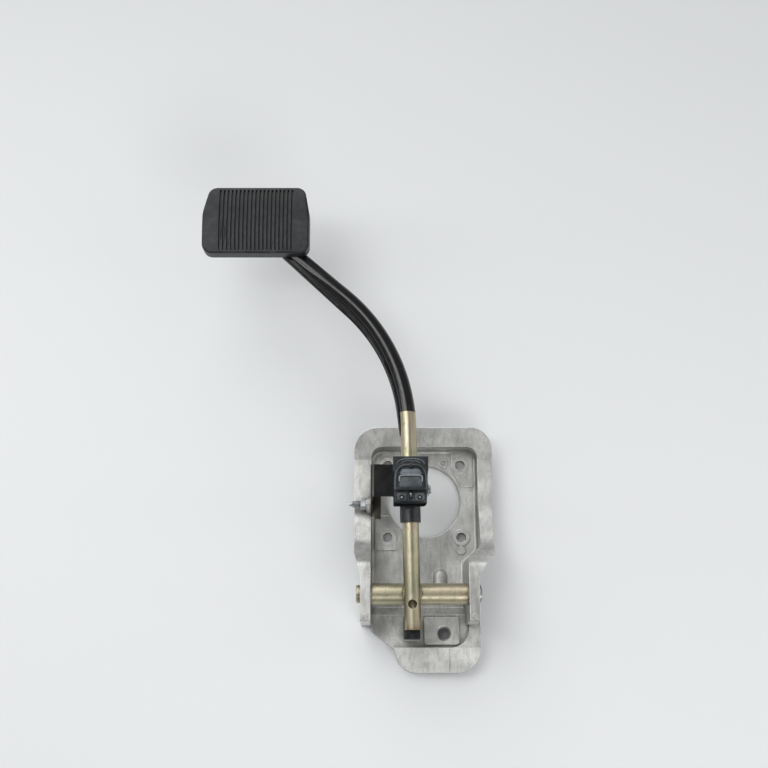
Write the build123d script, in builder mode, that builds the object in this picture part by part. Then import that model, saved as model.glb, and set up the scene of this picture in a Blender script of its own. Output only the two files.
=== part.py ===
"""Hanging brake pedal unit of a car.

The unit lies on its mounting face. X runs along the pivot shaft, Y from the pivot towards the foot pad and
Z from the bulkhead towards the driver. The origin is the centre of the booster bore on the mounting face.
Millimetres.
"""

import math
import os

from build123d import *

os.makedirs("parts", exist_ok=True)

# Clearances
running_fit = 0.05      # radial, a shaft in a bush or a pin in its hole
loose_fit = 0.35        # radial, a bolt or a screw in a plain hole
seat_gap = 0.35         # between a piece and the seat that it only rests on

# Casting: base plate and booster mount
plate_t = 6.0
foot_y = -169.0
foot_corner_r = 24.0
foot_left_r = 19.0
foot_right_x = 53.5
foot_top_y = -60.0
foot_left_x = -24.0
foot_heel = (-31.0, -146.5)
foot_hip = (-53.5, -130.0)
hip_r = 4.0
booster_bore_r = 36.5
booster_pitch = 74.0
booster_hole_r = 4.8
bore_chamfer = 1.0
spot_face_r = 8.5
spot_face_h = 1.4

# Casting: flange round the front of the walls
flange_left_x = -71.0
flange_right_x = 69.0
flange_top_y = 70.7
flange_corner_r = 23.0
flange_t = 5.0
flange_z = 24.0
flange_ramp_y = 39.0
flange_ramp_rise = 8.0
flange_ramp_r = 6.0
shoulder_left_x = -69.6
shoulder_right_x = 66.2
shoulder_y = -59.0
shoulder_r = 12.0
waist_y = -82.0
waist_r = 6.0

# Casting: tray walls
wall_t = 3.6
tray_half_w = 53.5
tray_top_y = 52.0
tray_corner_r = 11.0
tray_floor_r = 3.5
wall_mid_z = 26.0
wall_mid_y = -10.0
wall_mid_r = 30.0
wall_low_z = 40.0
wall_low_y = -46.0
wall_low_r = 16.0
lug_r = 8.0
neck_y = -50.0
neck_end_y = -63.0
neck_r = 6.0

# Casting: pads and bosses on the tray floor
corner_pad = ((28.3, 50.0), (50.0, 50.0), (50.0, 14.7), (36.8, 14.7), (28.0, 34.4))
corner_pad_h = 1.0
ring_boss_c = (19.9, 39.0)
ring_boss_r = 4.6
ring_boss_bore = 2.6
pimple_c = (39.7, 20.4)
pimple_r = 1.8
low_boss_c = (36.6, -50.0)
low_boss_r = 4.4
half_rib_x = 15.1
half_rib_y = -75.7
half_rib_r = 8.4
half_rib_sink = 3.9
half_rib_len = 20.0

# Pivot and ears
pivot_y = -97.7
pivot_z = 56.0
ear_t = 9.7
ear_right_in = 39.3
ear_top_z = 72.0
ear_start_y = -70.0
ear_end_y = -124.0
ear_corner_r = 8.0
ear_low_r = 1.5
ear_nub_r = 2.6
ear_nub_h = 1.2
shaft_r = 6.0
shaft_head_r = 8.5
shaft_head_t = 4.0
shaft_end = 0.8
retainer_r = 8.5
retainer_t = 2.2
bush_r = 7.6
bush_flange_r = 9.4
bush_flange_t = 1.0
bush_len = 14.0
pivot_tube_r = 10.0

# Casting: lower pan
ledge_y = -106.0
pan_z = 14.0
pan_wall = 5.0
rim_z = 19.0
rim_drop = 6.0
rim_in_x = 42.3
rim_in_y = -145.4
rim_in_r = 18.0
ledge_r = 2.0
rim_r = 4.0
square_c = (15.5, -129.4)
square_size = (34.0, 26.0)
square_h = 3.0
square_r = 2.5
upper_hole_c = (17.5, -132.0)
upper_hole_r = 5.6
upper_sink_r = 7.4
upper_sink_angle = 90.0

# Pedal arm
arm_x = -14.4
arm_r = 7.8
arm_wall = 2.2
arm_stand_off = 16.0    # arm axis in front of the pivot axis
arm_lean = 3.5          # degrees, the arm leans towards the driver
arm_tail = 34.3
arm_bend_at = (-4.2, 236.5)
arm_bend_r = 178.0
arm_end = (-147.2, 357.5)
arm_hole_at = -11.0
arm_hole_r = 4.2
gusset_t = 4.0
gusset_gap = 0.1
gusset_root = 0.8
gusset_width = 9.4
gusset_end = 1.0
gusset_lead = 7.8       # from the strip's foot to the start of the bend
gusset_short = 6.0
weld_r = 3.6

# Pad, placed on the arm's own plane
pad_at = (-152.9, 361.4)
pad_w = 105.6
pad_h = 68.6
pad_left_in = 6.5
pad_right_in = 5.0
pad_cut = 28.0
pad_corner_r = 9.5
pad_shoulder_r = 40.0
pad_crown_r = 150.0
pad_front = 23.5
pad_back = 5.6
pad_skin = 3.0
pad_lip = 4.0
pad_edge_r = 2.0
groove_count = 19
groove_pitch = 3.95
groove_w = 1.7
groove_depth = 2.0
groove_margin = 3.0
pad_plate_t = 4.0
pad_weld_r = 3.0
pad_weld_len = 24.0

# Push rod pin
pin_at = 96.2
pin_r = 4.0
pin_reach = 20.3
pin_head_r = 6.0
pin_head_t = 2.0
pin_root_r = 5.0
pin_shoulder = 1.0
pin_groove_w = 1.4
pin_groove_depth = 0.8
pin_groove_back = 2.0

# Striker sleeve
sleeve_from = 65.0
sleeve_wall = 2.0
sleeve_slot_w = 11.0

# Return stop
stop_y = -129.0
stop_w = 15.6
stop_len = 22.0
stop_h = 12.0
stop_edge_r = 1.5
stop_stem_r = 4.0
stop_stem_h = 8.0
stop_window = 3.4
stop_window_depth = 1.2
stop_window_spread = 7.6
stop_window_back = 8.0
pedestal_margin = -1.0

# Switch bracket and its bolt
sheet_t = 2.5
sheet_bend_r = 3.4
face_z = 94.5           # front of the sheet's face
face_top_y = 19.5
face_low_y = -11.0
face_corner_r = 4.0
face_notch_r = 1.0
face_switch_x = -32.0
face_switch_low_y = -20.5
face_right_x = -0.5
leg_low_z = 16.0
leg_foot_y = -18.0
leg_foot_z = 42.0
leg_knee_z = 52.0
bolt_y = -8.0
bolt_z = 33.5
bolt_r = 3.0
bolt_head_r = 7.0
bolt_head_t = 4.0
bolt_head_edge = 1.8
bolt_out = 18.0
bolt_tip_len = 3.0
bolt_tip_r = 1.9
nut_flats = 10.0
nut_t = 5.5
nut_edge = 0.6
washer_r = 6.6
washer_t = 1.5
strap_t = 1.5
strap_reach = 7.2
strap_z = 43.0
strap_top_y = 2.0
strap_low_y = -24.0
strap_base_half = 8.0
strap_base_low_z = 25.0

# Stop-lamp switch
switch_x = -16.0
switch_w = 30.0
switch_low_y = -18.4
switch_top_y = 17.5
switch_h = 17.5
switch_corner_r = 3.0
collar_w = 32.6
collar_h = 5.4
collar_low = 1.6
collar_high = 19.5
socket_w = 25.0
socket_h = 11.0
socket_z = 9.0
socket_depth = 14.0
arch_w = 31.0
arch_low_y = -9.0
arch_top_y = 16.0
arch_h = 5.0
arch_rim = 2.4
arch_corner_r = 8.0
arch_foot_r = 2.5
cover_gap = 0.25
cover_h = 3.2
ridge_y = 6.5
ridge_w = 2.0
ridge_h = 1.0
ridge_margin = 4.0
channel_w = 3.2
channel_depth = 2.6
screw_spread = 16.6
screw_y = -15.4
screw_r = 1.4
screw_head_r = 2.2
screw_head_t = 1.2
screw_out = 0.8
blade_count = 4
blade_pitch = 5.6
blade_w = 2.8
blade_t = 0.8
blade_root = 4.0
blade_out = 11.0
plunger_x = -15.6
plunger_y = -11.6
plunger_r = 3.0
plunger_tip_edge = 0.8
plunger_head_r = 4.6
plunger_head_t = 2.0
plunger_head_z = 5.7    # above the sheet's face, with the plunger pressed in
plunger_bore_r = 5.0
plunger_bore_h = 13.5
spring_wire = 0.7
spring_r = 3.6
spring_turns = 4

# Places worked out from the sizes above
lean = math.radians(arm_lean)
ear_left_out = -tray_half_w - ear_t
ear_right_out = ear_right_in + ear_t
wall_out_x = -tray_half_w - wall_t
leg_in_x = -tray_half_w + sheet_t
strap_in_x = leg_in_x + strap_t
face_back_z = face_z - sheet_t
switch_front_z = face_z + switch_h
above_all = face_z * 2
arm_plane = Plane(
    origin=(arm_x, pivot_y, pivot_z + arm_stand_off),
    x_dir=(1, 0, 0),
    z_dir=(0, -math.sin(lean), math.cos(lean)),
)
lower_run = Vector(*arm_bend_at).normalized()
upper_run = (Vector(*arm_end) - Vector(*arm_bend_at)).normalized()
bend_turn = math.radians(lower_run.get_angle(upper_run))
gusset_foot_at = Vector(*arm_bend_at).length - arm_bend_r * math.tan(bend_turn / 2) - gusset_lead
lower_axis = Plane(arm_plane.origin, (1, 0, 0), arm_plane.from_local_coords(lower_run) - arm_plane.origin)
upper_axis = Plane(
    arm_plane.from_local_coords(Vector(*arm_end)),
    z_dir=arm_plane.from_local_coords(upper_run) - arm_plane.origin,
)
pad_plane = Plane(arm_plane.from_local_coords(Vector(*pad_at)), (1, 0, 0), arm_plane.z_dir)
shaft_plane = Plane((0, pivot_y, pivot_z), (0, 1, 0), (1, 0, 0))
bolt_plane = Plane((0, bolt_y, bolt_z), (0, 1, 0), (1, 0, 0))
pin_x = arm_x + lower_run.X * pin_at
pin_plane = Plane(
    (pin_x, pivot_y + pin_at * math.cos(lean), pivot_z + arm_stand_off + pin_at * math.sin(lean)),
    (0, 1, 0),
    (1, 0, 0),
)
stop_top_z = pivot_z + arm_stand_off - arm_tail * math.sin(lean) - arm_r / math.cos(lean) - seat_gap
stop_base_z = stop_top_z - stop_h
sleeve_r = arm_r + running_fit + sleeve_wall
sleeve_to = pin_at - pin_head_r - seat_gap
striker_z = pivot_z + arm_stand_off + (plunger_y - pivot_y) * math.tan(lean) + sleeve_r / math.cos(lean)
plunger_tip_z = striker_z + seat_gap


def beside_arm(at_foot, at_bend, at_end):
    """Foot, corner and end of a line inside the arm's bend, at the given distances from the arm's axis."""
    side_low = Vector(-lower_run.Y, lower_run.X)
    side_high = Vector(-upper_run.Y, upper_run.X)
    corner = (side_low + side_high) / (1 + side_low.dot(side_high))
    return (
        lower_run * gusset_foot_at + side_low * at_foot,
        Vector(*arm_bend_at) + corner * at_bend,
        Vector(*arm_end) - upper_run * gusset_short + side_high * at_end,
    )


def pad_outline(inset):
    """Corner points and radii of the pad's outline, a set distance inside its edge."""
    half = pad_w / 2 - inset
    high = pad_h / 2 - inset
    points = (
        (pad_left_in - half, high),
        (half - pad_right_in, high),
        (half, high - pad_cut),
        (half, -high),
        (-half, -high),
        (-half, high - pad_cut),
    )
    soft = pad_shoulder_r - inset
    corner = pad_corner_r - inset
    return points, (corner, corner, soft, corner, corner, soft)


# Casting

wall_corner_r = tray_corner_r + wall_t
base_points = (
    (wall_out_x, tray_top_y + wall_t),
    (-wall_out_x, tray_top_y + wall_t),
    (-wall_out_x, neck_y),
    (foot_right_x, foot_top_y),
    (foot_right_x, foot_y),
    (foot_left_x, foot_y),
    foot_heel,
    foot_hip,
    (foot_hip[0], ear_end_y + hip_r),
    (ear_left_out, ear_end_y + hip_r * 2),
    (ear_left_out, ear_start_y),
    (wall_out_x, ear_start_y + ear_t),
)
base_radii = (
    wall_corner_r,
    wall_corner_r,
    neck_r / 2,
    neck_r / 2,
    foot_corner_r,
    foot_left_r,
    neck_r,
    hip_r,
    hip_r / 2,
    hip_r / 2,
    neck_r / 2,
    neck_r / 2,
)
inner_points = (
    (-tray_half_w, tray_top_y),
    (tray_half_w, tray_top_y),
    (tray_half_w, neck_y),
    (ear_right_in, neck_end_y),
    (ear_right_in, foot_y * 2),
    (-tray_half_w, foot_y * 2),
)
inner_radii = (tray_corner_r, tray_corner_r, neck_r, neck_r, 0, 0)
outer_points = (
    (wall_out_x, tray_top_y + wall_t),
    (-wall_out_x, tray_top_y + wall_t),
    (-wall_out_x, neck_y - wall_t / 2),
    (ear_right_out, neck_end_y - wall_t / 2),
    (ear_right_out, ear_end_y),
    (ear_left_out, ear_end_y),
    (ear_left_out, ear_start_y),
    (wall_out_x, ear_start_y + ear_t),
)
outer_radii = (wall_corner_r, wall_corner_r, neck_r, neck_r, 0, 0, neck_r / 2, neck_r / 2)
flange_points = (
    (flange_left_x, flange_top_y),
    (flange_right_x, flange_top_y),
    (shoulder_right_x, shoulder_y),
    (ear_right_out, waist_y),
    (ear_right_out, ear_end_y),
    (ear_left_out, ear_end_y),
    (ear_left_out, waist_y),
    (shoulder_left_x, shoulder_y),
)
flange_radii = (flange_corner_r, flange_corner_r, shoulder_r, waist_r, 0, 0, waist_r, shoulder_r)
# Front line of the walls and the flange, from beyond the top edge to the end of the ears, as (y, z)
front_points = (
    (flange_top_y * 2 - flange_ramp_y, flange_z + flange_ramp_rise * 2),
    (flange_ramp_y, flange_z),
    (wall_mid_y, wall_mid_z),
    (wall_low_y, wall_low_z),
    (ear_start_y, ear_top_z),
    (ear_end_y, ear_top_z),
)
front_radii = (0, flange_ramp_r, wall_mid_r, wall_low_r, ear_corner_r, ear_low_r)
flange_back_points = tuple((y, z - flange_t) for y, z in reversed(front_points))
flange_back_radii = (0, *reversed(front_radii[1:-1]), 0)

with BuildPart() as pocket:
    with BuildSketch(Plane.XY.offset(plate_t)):
        with BuildLine():
            FilletPolyline(*inner_points, radius=inner_radii, close=True)
        make_face()
    extrude(amount=above_all)
    fillet(pocket.faces().sort_by(Axis.Z)[0].edges(), tray_floor_r)

with BuildPart() as flange:
    with BuildSketch():
        with BuildLine():
            FilletPolyline(*flange_points, radius=flange_radii, close=True)
        make_face()
    extrude(amount=above_all)
    with BuildSketch(Plane.YZ):
        with BuildLine():
            FilletPolyline(
                *front_points,
                *flange_back_points,
                radius=front_radii + flange_back_radii,
                close=True,
            )
        make_face()
    extrude(amount=flange_right_x * 2, both=True, mode=Mode.INTERSECT)

with BuildPart() as pan:
    with BuildSketch():
        with BuildLine():
            FilletPolyline(*base_points, radius=base_radii, close=True)
        make_face()
    extrude(amount=rim_z)
    with BuildSketch(Plane.YZ):
        with BuildLine():
            FilletPolyline(
                (ledge_y, plate_t),
                (ledge_y - (rim_z - plate_t), rim_z),
                (rim_in_y, rim_z),
                (foot_y, rim_z - rim_drop),
                (foot_y * 2, rim_z - rim_drop),
                (foot_y * 2, -pan_z),
                (ledge_y, -pan_z),
                radius=(0, ledge_r, rim_r, 0, 0, 0, 0),
                close=True,
            )
        make_face()
    extrude(amount=flange_right_x * 2, both=True, mode=Mode.INTERSECT)
    # Floor of the pan, sunk inside its rim
    with BuildSketch(Plane.XY.offset(pan_z)):
        with BuildLine():
            FilletPolyline(
                (ear_left_out * 2, 0),
                (rim_in_x, 0),
                (rim_in_x, rim_in_y),
                (ear_left_out * 2, rim_in_y),
                radius=(0, 0, rim_in_r, 0),
                close=True,
            )
        make_face()
    extrude(amount=rim_z, mode=Mode.SUBTRACT)

with BuildPart() as half_rib:
    rib_c = (half_rib_x, half_rib_y, plate_t - half_rib_sink)
    with Locations(Plane(rib_c, (1, 0, 0), (0, -1, 0))):
        Cylinder(half_rib_r, half_rib_len, align=(Align.CENTER, Align.CENTER, Align.MIN))
        Sphere(half_rib_r)
    with Locations((half_rib_x, half_rib_y, plate_t / 2)):
        Box(pad_w, pad_w, pad_w, align=(Align.CENTER, Align.CENTER, Align.MAX), mode=Mode.SUBTRACT)

with BuildPart() as bracket_casting:
    with BuildSketch():
        with BuildLine():
            FilletPolyline(*outer_points, radius=outer_radii, close=True)
        make_face()
    extrude(amount=ear_top_z)
    with BuildSketch(Plane.YZ):
        with BuildLine():
            FilletPolyline(
                *front_points,
                (ear_end_y, -above_all),
                (front_points[0][0], -above_all),
                radius=front_radii + (0, 0),
                close=True,
            )
        make_face()
    extrude(amount=flange_right_x * 2, both=True, mode=Mode.INTERSECT)
    add(flange.part)
    with BuildSketch():
        with BuildLine():
            FilletPolyline(*base_points, radius=base_radii, close=True)
        make_face()
    extrude(amount=plate_t)
    add(pocket.part, mode=Mode.SUBTRACT)
    add(pan.part)
    # Hollow back of the pan
    with BuildSketch():
        with BuildLine():
            FilletPolyline(
                (rim_in_x, ledge_y - pan_z),
                (rim_in_x, rim_in_y),
                (arm_x + stop_w, rim_in_y),
                (arm_x + stop_w, ledge_y - pan_z),
                radius=hip_r,
                close=True,
            )
        make_face()
    extrude(amount=pan_z - pan_wall, mode=Mode.SUBTRACT)
    # Lug that carries the switch bracket's bolt
    with BuildSketch(Plane.YZ.offset(wall_out_x)):
        with Locations((bolt_y, bolt_z)):
            Circle(lug_r)
            Rectangle(lug_r * 2, bolt_z - plate_t, align=(Align.CENTER, Align.MAX))
    extrude(amount=wall_t)
    # Raised pads, bosses and the half-round rib on the floor
    with BuildSketch(Plane.XY.offset(plate_t)):
        with BuildLine():
            Polyline(*corner_pad, close=True)
        make_face()
        with BuildLine():
            Polyline(*((-x, -y) for x, y in corner_pad), close=True)
        make_face()
    extrude(amount=corner_pad_h)
    with BuildSketch(Plane.XY.offset(plate_t)):
        with GridLocations(booster_pitch, booster_pitch, 2, 2):
            Circle(spot_face_r)
        with Locations(ring_boss_c):
            Circle(ring_boss_r)
            Circle(ring_boss_bore, mode=Mode.SUBTRACT)
        with Locations(low_boss_c):
            Circle(low_boss_r)
        with Locations(pimple_c):
            Circle(pimple_r)
    extrude(amount=spot_face_h)
    add(half_rib.part)
    # Square pad with its mounting hole, and the stop's pedestal
    with BuildSketch(Plane.XY.offset(pan_z)):
        with Locations(square_c):
            RectangleRounded(*square_size, square_r)
    extrude(amount=square_h)
    with Locations((*upper_hole_c, pan_z + square_h)):
        CounterSinkHole(upper_hole_r, upper_sink_r, pan_wall + square_h, upper_sink_angle)
    with BuildSketch(Plane.XY.offset(pan_z)):
        with Locations((arm_x, stop_y)):
            RectangleRounded(stop_w + pedestal_margin, stop_len + pedestal_margin, stop_edge_r)
    extrude(amount=stop_base_z - pan_z)
    with Locations((arm_x, stop_y, stop_base_z)):
        Hole(stop_stem_r + running_fit, stop_stem_h + seat_gap)
    # Booster bore and stud holes, shaft bores, bolt hole and the nubs on the ears
    with Locations((0, 0, plate_t)):
        Hole(booster_bore_r)
    with Locations((0, 0, plate_t + spot_face_h)):
        with GridLocations(booster_pitch, booster_pitch, 2, 2):
            Hole(booster_hole_r, plate_t + spot_face_h)
    chamfer(
        bracket_casting.edges()
        .filter_by(GeomType.CIRCLE)
        .filter_by(lambda edge: abs(edge.radius - booster_bore_r) < bore_chamfer)
        .sort_by(Axis.Z)[-1],
        bore_chamfer,
    )
    with Locations(shaft_plane):
        Cylinder(shaft_r + running_fit, ear_right_out * 4, mode=Mode.SUBTRACT)
    with Locations(bolt_plane.offset(wall_out_x)):
        Cylinder(
            bolt_r + loose_fit,
            wall_t * 2,
            align=(Align.CENTER, Align.CENTER, Align.CENTER),
            mode=Mode.SUBTRACT,
        )
    nub_y = ear_end_y + ear_low_r + ear_nub_r * 1.25
    with Locations(
        (-tray_half_w - ear_t / 2, nub_y, ear_top_z),
        (ear_right_in + ear_t / 2, nub_y, ear_top_z),
    ):
        Cylinder(ear_nub_r, ear_nub_h * 2)

# Pivot: shaft, retainer, tube and bushes

tube_left_x = -tray_half_w + bush_flange_t + seat_gap
tube_right_x = ear_right_in - bush_flange_t - seat_gap

with BuildPart() as pivot_shaft:
    with BuildSketch(shaft_plane.offset(ear_left_out - shaft_head_t)):
        Circle(shaft_head_r)
    extrude(amount=shaft_head_t)
    chamfer(pivot_shaft.edges().sort_by(Axis.X)[0], shaft_end)
    with BuildSketch(shaft_plane.offset(ear_left_out)):
        Circle(shaft_r)
    extrude(amount=ear_right_out + retainer_t + shaft_end - ear_left_out)

with BuildPart() as shaft_retainer:
    with BuildSketch(shaft_plane.offset(ear_right_out)):
        Circle(retainer_r)
        Circle(shaft_r + running_fit, mode=Mode.SUBTRACT)
    extrude(amount=retainer_t)
    chamfer(shaft_retainer.edges().filter_by(GeomType.CIRCLE).sort_by(Axis.X)[-1], shaft_end)

with BuildPart() as pivot_tube:
    with BuildSketch(shaft_plane.offset(tube_left_x)):
        Circle(pivot_tube_r)
        Circle(bush_r + running_fit, mode=Mode.SUBTRACT)
    extrude(amount=tube_right_x - tube_left_x)


def pivot_bush(tube_end, inward):
    """Flanged bush in one end of the pivot tube; inward is 1 at the left end and -1 at the right."""
    end_plane = Plane((tube_end, pivot_y, pivot_z), (0, 1, 0), (inward, 0, 0))
    with BuildPart() as bush:
        with BuildSketch(end_plane):
            Circle(bush_r)
        extrude(amount=bush_len)
        with BuildSketch(end_plane):
            Circle(bush_flange_r)
        extrude(amount=-bush_flange_t)
        with Locations(end_plane):
            Cylinder(shaft_r + running_fit, bush_len * 3, mode=Mode.SUBTRACT)
    return bush


pivot_bush_left = pivot_bush(tube_left_x, 1)
pivot_bush_right = pivot_bush(tube_right_x, -1)

# Pedal arm, its gusset and its welds

with BuildPart() as arm_tube:
    tail_at = (lower_run.X * -arm_tail, lower_run.Y * -arm_tail)
    with BuildLine(arm_plane) as arm_path:
        FilletPolyline(tail_at, arm_bend_at, arm_end, radius=(arm_bend_r,))
    with BuildSketch(Plane(arm_path.line @ 0, z_dir=arm_path.line % 0)):
        Circle(arm_r)
        Circle(arm_r - arm_wall, mode=Mode.SUBTRACT)
    sweep(path=arm_path.line)
    with Locations(shaft_plane):
        Cylinder(pivot_tube_r, ear_right_out * 4, mode=Mode.SUBTRACT)
    with Locations(arm_plane.location * Pos(arm_hole_at * lower_run.X, arm_hole_at)):
        Cylinder(arm_hole_r, arm_r * 2, align=(Align.CENTER, Align.CENTER, Align.MIN), mode=Mode.SUBTRACT)
    with Locations(pin_plane):
        Cylinder(pin_root_r + running_fit, arm_r * 3, mode=Mode.SUBTRACT)

with BuildPart() as arm_gusset:
    tube_side = arm_r + gusset_gap
    inner_edge = beside_arm(tube_side, tube_side, tube_side)
    outer_edge = beside_arm(arm_r + gusset_root, arm_r + gusset_width, arm_r + gusset_end)
    with BuildSketch(arm_plane):
        with BuildLine():
            near_line = FilletPolyline(*inner_edge, radius=(arm_bend_r - tube_side,))
            far_line = FilletPolyline(*outer_edge, radius=(arm_bend_r - arm_r - gusset_width,))
            Line(near_line @ 0, far_line @ 0)
            Line(near_line @ 1, far_line @ 1)
        make_face()
    extrude(amount=gusset_t / 2, both=True)

with BuildPart() as pivot_welds:
    with Locations((arm_x, pivot_y, pivot_z + pivot_tube_r)):
        with GridLocations(arm_r * 2 - weld_r / 2, pivot_tube_r * 2 - weld_r, 2, 2):
            Sphere(weld_r)
    with Locations(lower_axis):
        Cylinder(arm_r, arm_tail * 4, mode=Mode.SUBTRACT)
    with Locations(shaft_plane):
        Cylinder(pivot_tube_r, ear_right_out * 4, mode=Mode.SUBTRACT)

# Foot pad

plate_back = arm_r + running_fit
plate_front = plate_back + pad_plate_t

with BuildPart() as pad_plate:
    plate_points, plate_radii = pad_outline(pad_skin)
    with BuildSketch(pad_plane.offset(plate_back)):
        with BuildLine():
            FilletPolyline(*plate_points, radius=plate_radii, close=True)
        make_face()
    extrude(amount=pad_plate_t)

crown_c = pad_plane.from_local_coords((0, 0, pad_front - pad_crown_r))
crown_plane = Plane(crown_c, arm_plane.y_dir, (1, 0, 0))

with BuildPart() as grooves:
    with Locations(pad_plane.offset(pad_front)):
        with GridLocations(groove_pitch, 1, groove_count, 1):
            Box(groove_w, pad_h - groove_margin * 2, pad_h)
    with Locations(crown_plane):
        Cylinder(pad_crown_r - groove_depth, pad_w * 2, mode=Mode.SUBTRACT)

with BuildPart() as pedal_pad:
    outer_pad, outer_pad_radii = pad_outline(0)
    with BuildSketch(pad_plane.offset(pad_back)):
        with BuildLine():
            FilletPolyline(*outer_pad, radius=outer_pad_radii, close=True)
        make_face()
    extrude(amount=pad_front - pad_back)
    with Locations(crown_plane):
        Cylinder(pad_crown_r, pad_w * 2, mode=Mode.INTERSECT)
    fillet(pedal_pad.faces().sort_by(Axis.Z)[-1].edges(), pad_edge_r)
    add(grooves.part, mode=Mode.SUBTRACT)
    hollow, hollow_radii = pad_outline(pad_skin - running_fit)
    with BuildSketch(pad_plane.offset(plate_back - running_fit)):
        with BuildLine():
            FilletPolyline(*hollow, radius=hollow_radii, close=True)
        make_face()
    extrude(amount=pad_plate_t + running_fit, mode=Mode.SUBTRACT)
    mouth, mouth_radii = pad_outline(pad_skin + pad_lip)
    with BuildSketch(pad_plane):
        with BuildLine():
            FilletPolyline(*mouth, radius=mouth_radii, close=True)
        make_face()
    extrude(amount=plate_front, mode=Mode.SUBTRACT)
    with Locations(upper_axis):
        Cylinder(arm_r + loose_fit, pad_w * 2, mode=Mode.SUBTRACT)

with BuildPart() as pad_welds:
    with Locations(upper_axis.location * Pos(0, 0, -pad_weld_len / 2)):
        Cylinder(arm_r + pad_weld_r / 2, pad_weld_len)
        Cylinder(arm_r, pad_weld_len, mode=Mode.SUBTRACT)
    with Locations(arm_plane.location * Pos(*arm_end, arm_r - pad_weld_r)):
        Box(pad_w, pad_w, pad_w, align=(Align.CENTER, Align.CENTER, Align.MAX), mode=Mode.SUBTRACT)
    with Locations(arm_plane.location * Pos(*arm_end, plate_back)):
        Box(pad_w, pad_w, pad_w, align=(Align.CENTER, Align.CENTER, Align.MIN), mode=Mode.SUBTRACT)

# Push rod pin and striker sleeve

with BuildPart() as pushrod_pin:
    with BuildSketch(pin_plane.offset(-arm_r - seat_gap - pin_head_t)):
        Circle(pin_head_r)
    extrude(amount=pin_head_t)
    with BuildSketch(pin_plane.offset(-arm_r - seat_gap)):
        Circle(pin_root_r)
    extrude(amount=arm_r * 2 + seat_gap + pin_shoulder)
    with BuildSketch(pin_plane.offset(arm_r + pin_shoulder)):
        Circle(pin_r)
    extrude(amount=pin_reach - arm_r - pin_shoulder)
    chamfer(pushrod_pin.edges().sort_by(Axis.X)[-1], pin_groove_depth)
    with BuildSketch(pin_plane.offset(pin_reach - pin_groove_back - pin_groove_w)):
        Circle(pin_r)
        Circle(pin_r - pin_groove_depth, mode=Mode.SUBTRACT)
    extrude(amount=pin_groove_w, mode=Mode.SUBTRACT)

with BuildPart() as striker_sleeve:
    with BuildSketch(lower_axis.offset(sleeve_from)):
        Circle(sleeve_r)
        Circle(arm_r + running_fit, mode=Mode.SUBTRACT)
        Rectangle(sleeve_slot_w, sleeve_r, align=(Align.CENTER, Align.MIN), mode=Mode.SUBTRACT)
    extrude(amount=sleeve_to - sleeve_from)

# Return stop under the tail

with BuildPart() as return_stop:
    with BuildSketch(Plane.XY.offset(stop_base_z)):
        with Locations((arm_x, stop_y)):
            RectangleRounded(stop_w, stop_len, stop_edge_r)
    extrude(amount=stop_h)
    fillet(return_stop.faces().sort_by(Axis.Z)[-1].edges(), stop_edge_r / 2)
    with BuildSketch(Plane.XY.offset(stop_base_z)):
        with Locations((arm_x, stop_y)):
            Circle(stop_stem_r)
    extrude(amount=-stop_stem_h)
    with Locations((arm_x, stop_y - stop_window_back, stop_top_z)):
        with GridLocations(stop_window_spread, 1, 2, 1):
            Box(stop_window, stop_window, stop_window_depth * 2, mode=Mode.SUBTRACT)

# Switch bracket, bolt, nut, washer and strap

with BuildPart() as switch_bracket:
    with BuildSketch(Plane.XY.offset(face_back_z)):
        with BuildLine():
            FilletPolyline(
                (-tray_half_w, face_top_y),
                (face_right_x, face_top_y),
                (face_right_x, face_switch_low_y),
                (face_switch_x, face_switch_low_y),
                (face_switch_x, face_low_y),
                (-tray_half_w, face_low_y),
                radius=(0, face_corner_r, face_corner_r, face_notch_r, face_notch_r, 0),
                close=True,
            )
        make_face()
    extrude(amount=sheet_t)
    with BuildSketch(Plane.YZ.offset(-tray_half_w)):
        with BuildLine():
            FilletPolyline(
                (face_top_y, face_z),
                (face_top_y, leg_low_z),
                (leg_foot_y, leg_low_z),
                (leg_foot_y, leg_foot_z),
                (face_low_y, leg_knee_z),
                (face_low_y, face_z),
                radius=(0, face_corner_r, face_corner_r, face_corner_r, face_corner_r, 0),
                close=True,
            )
        make_face()
    extrude(amount=sheet_t)
    bend_edges = switch_bracket.edges().filter_by(Axis.Y).sort_by(Axis.X).group_by(Axis.X)
    fillet(bend_edges[0].sort_by(Axis.Z)[-1], sheet_bend_r)
    with Locations((plunger_x, plunger_y, face_z)):
        Hole(plunger_r + loose_fit, sheet_t)
    with Locations((switch_x, screw_y, face_z)):
        with GridLocations(screw_spread, 1, 2, 1):
            Hole(screw_r + running_fit, sheet_t)
    with Locations(bolt_plane.offset(-tray_half_w)):
        Cylinder(bolt_r + loose_fit, sheet_t * 3, mode=Mode.SUBTRACT)

with BuildPart() as loom_strap:
    with BuildSketch(Plane.YZ.offset(leg_in_x)):
        with Locations((bolt_y, strap_base_low_z)):
            Rectangle(strap_base_half * 2, strap_z - strap_base_low_z, align=(Align.CENTER, Align.MIN))
    extrude(amount=strap_t)
    with BuildSketch(Plane.XY.offset(strap_z - strap_t)):
        with BuildLine():
            Polyline(
                (leg_in_x, strap_top_y),
                (leg_in_x + strap_reach, strap_top_y),
                (leg_in_x + strap_reach, strap_low_y),
                (strap_in_x, strap_low_y),
                (leg_in_x, leg_foot_y),
                close=True,
            )
        make_face()
    extrude(amount=strap_t)
    with Locations(bolt_plane.offset(leg_in_x)):
        Cylinder(bolt_r + loose_fit, strap_t * 3, mode=Mode.SUBTRACT)

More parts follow.
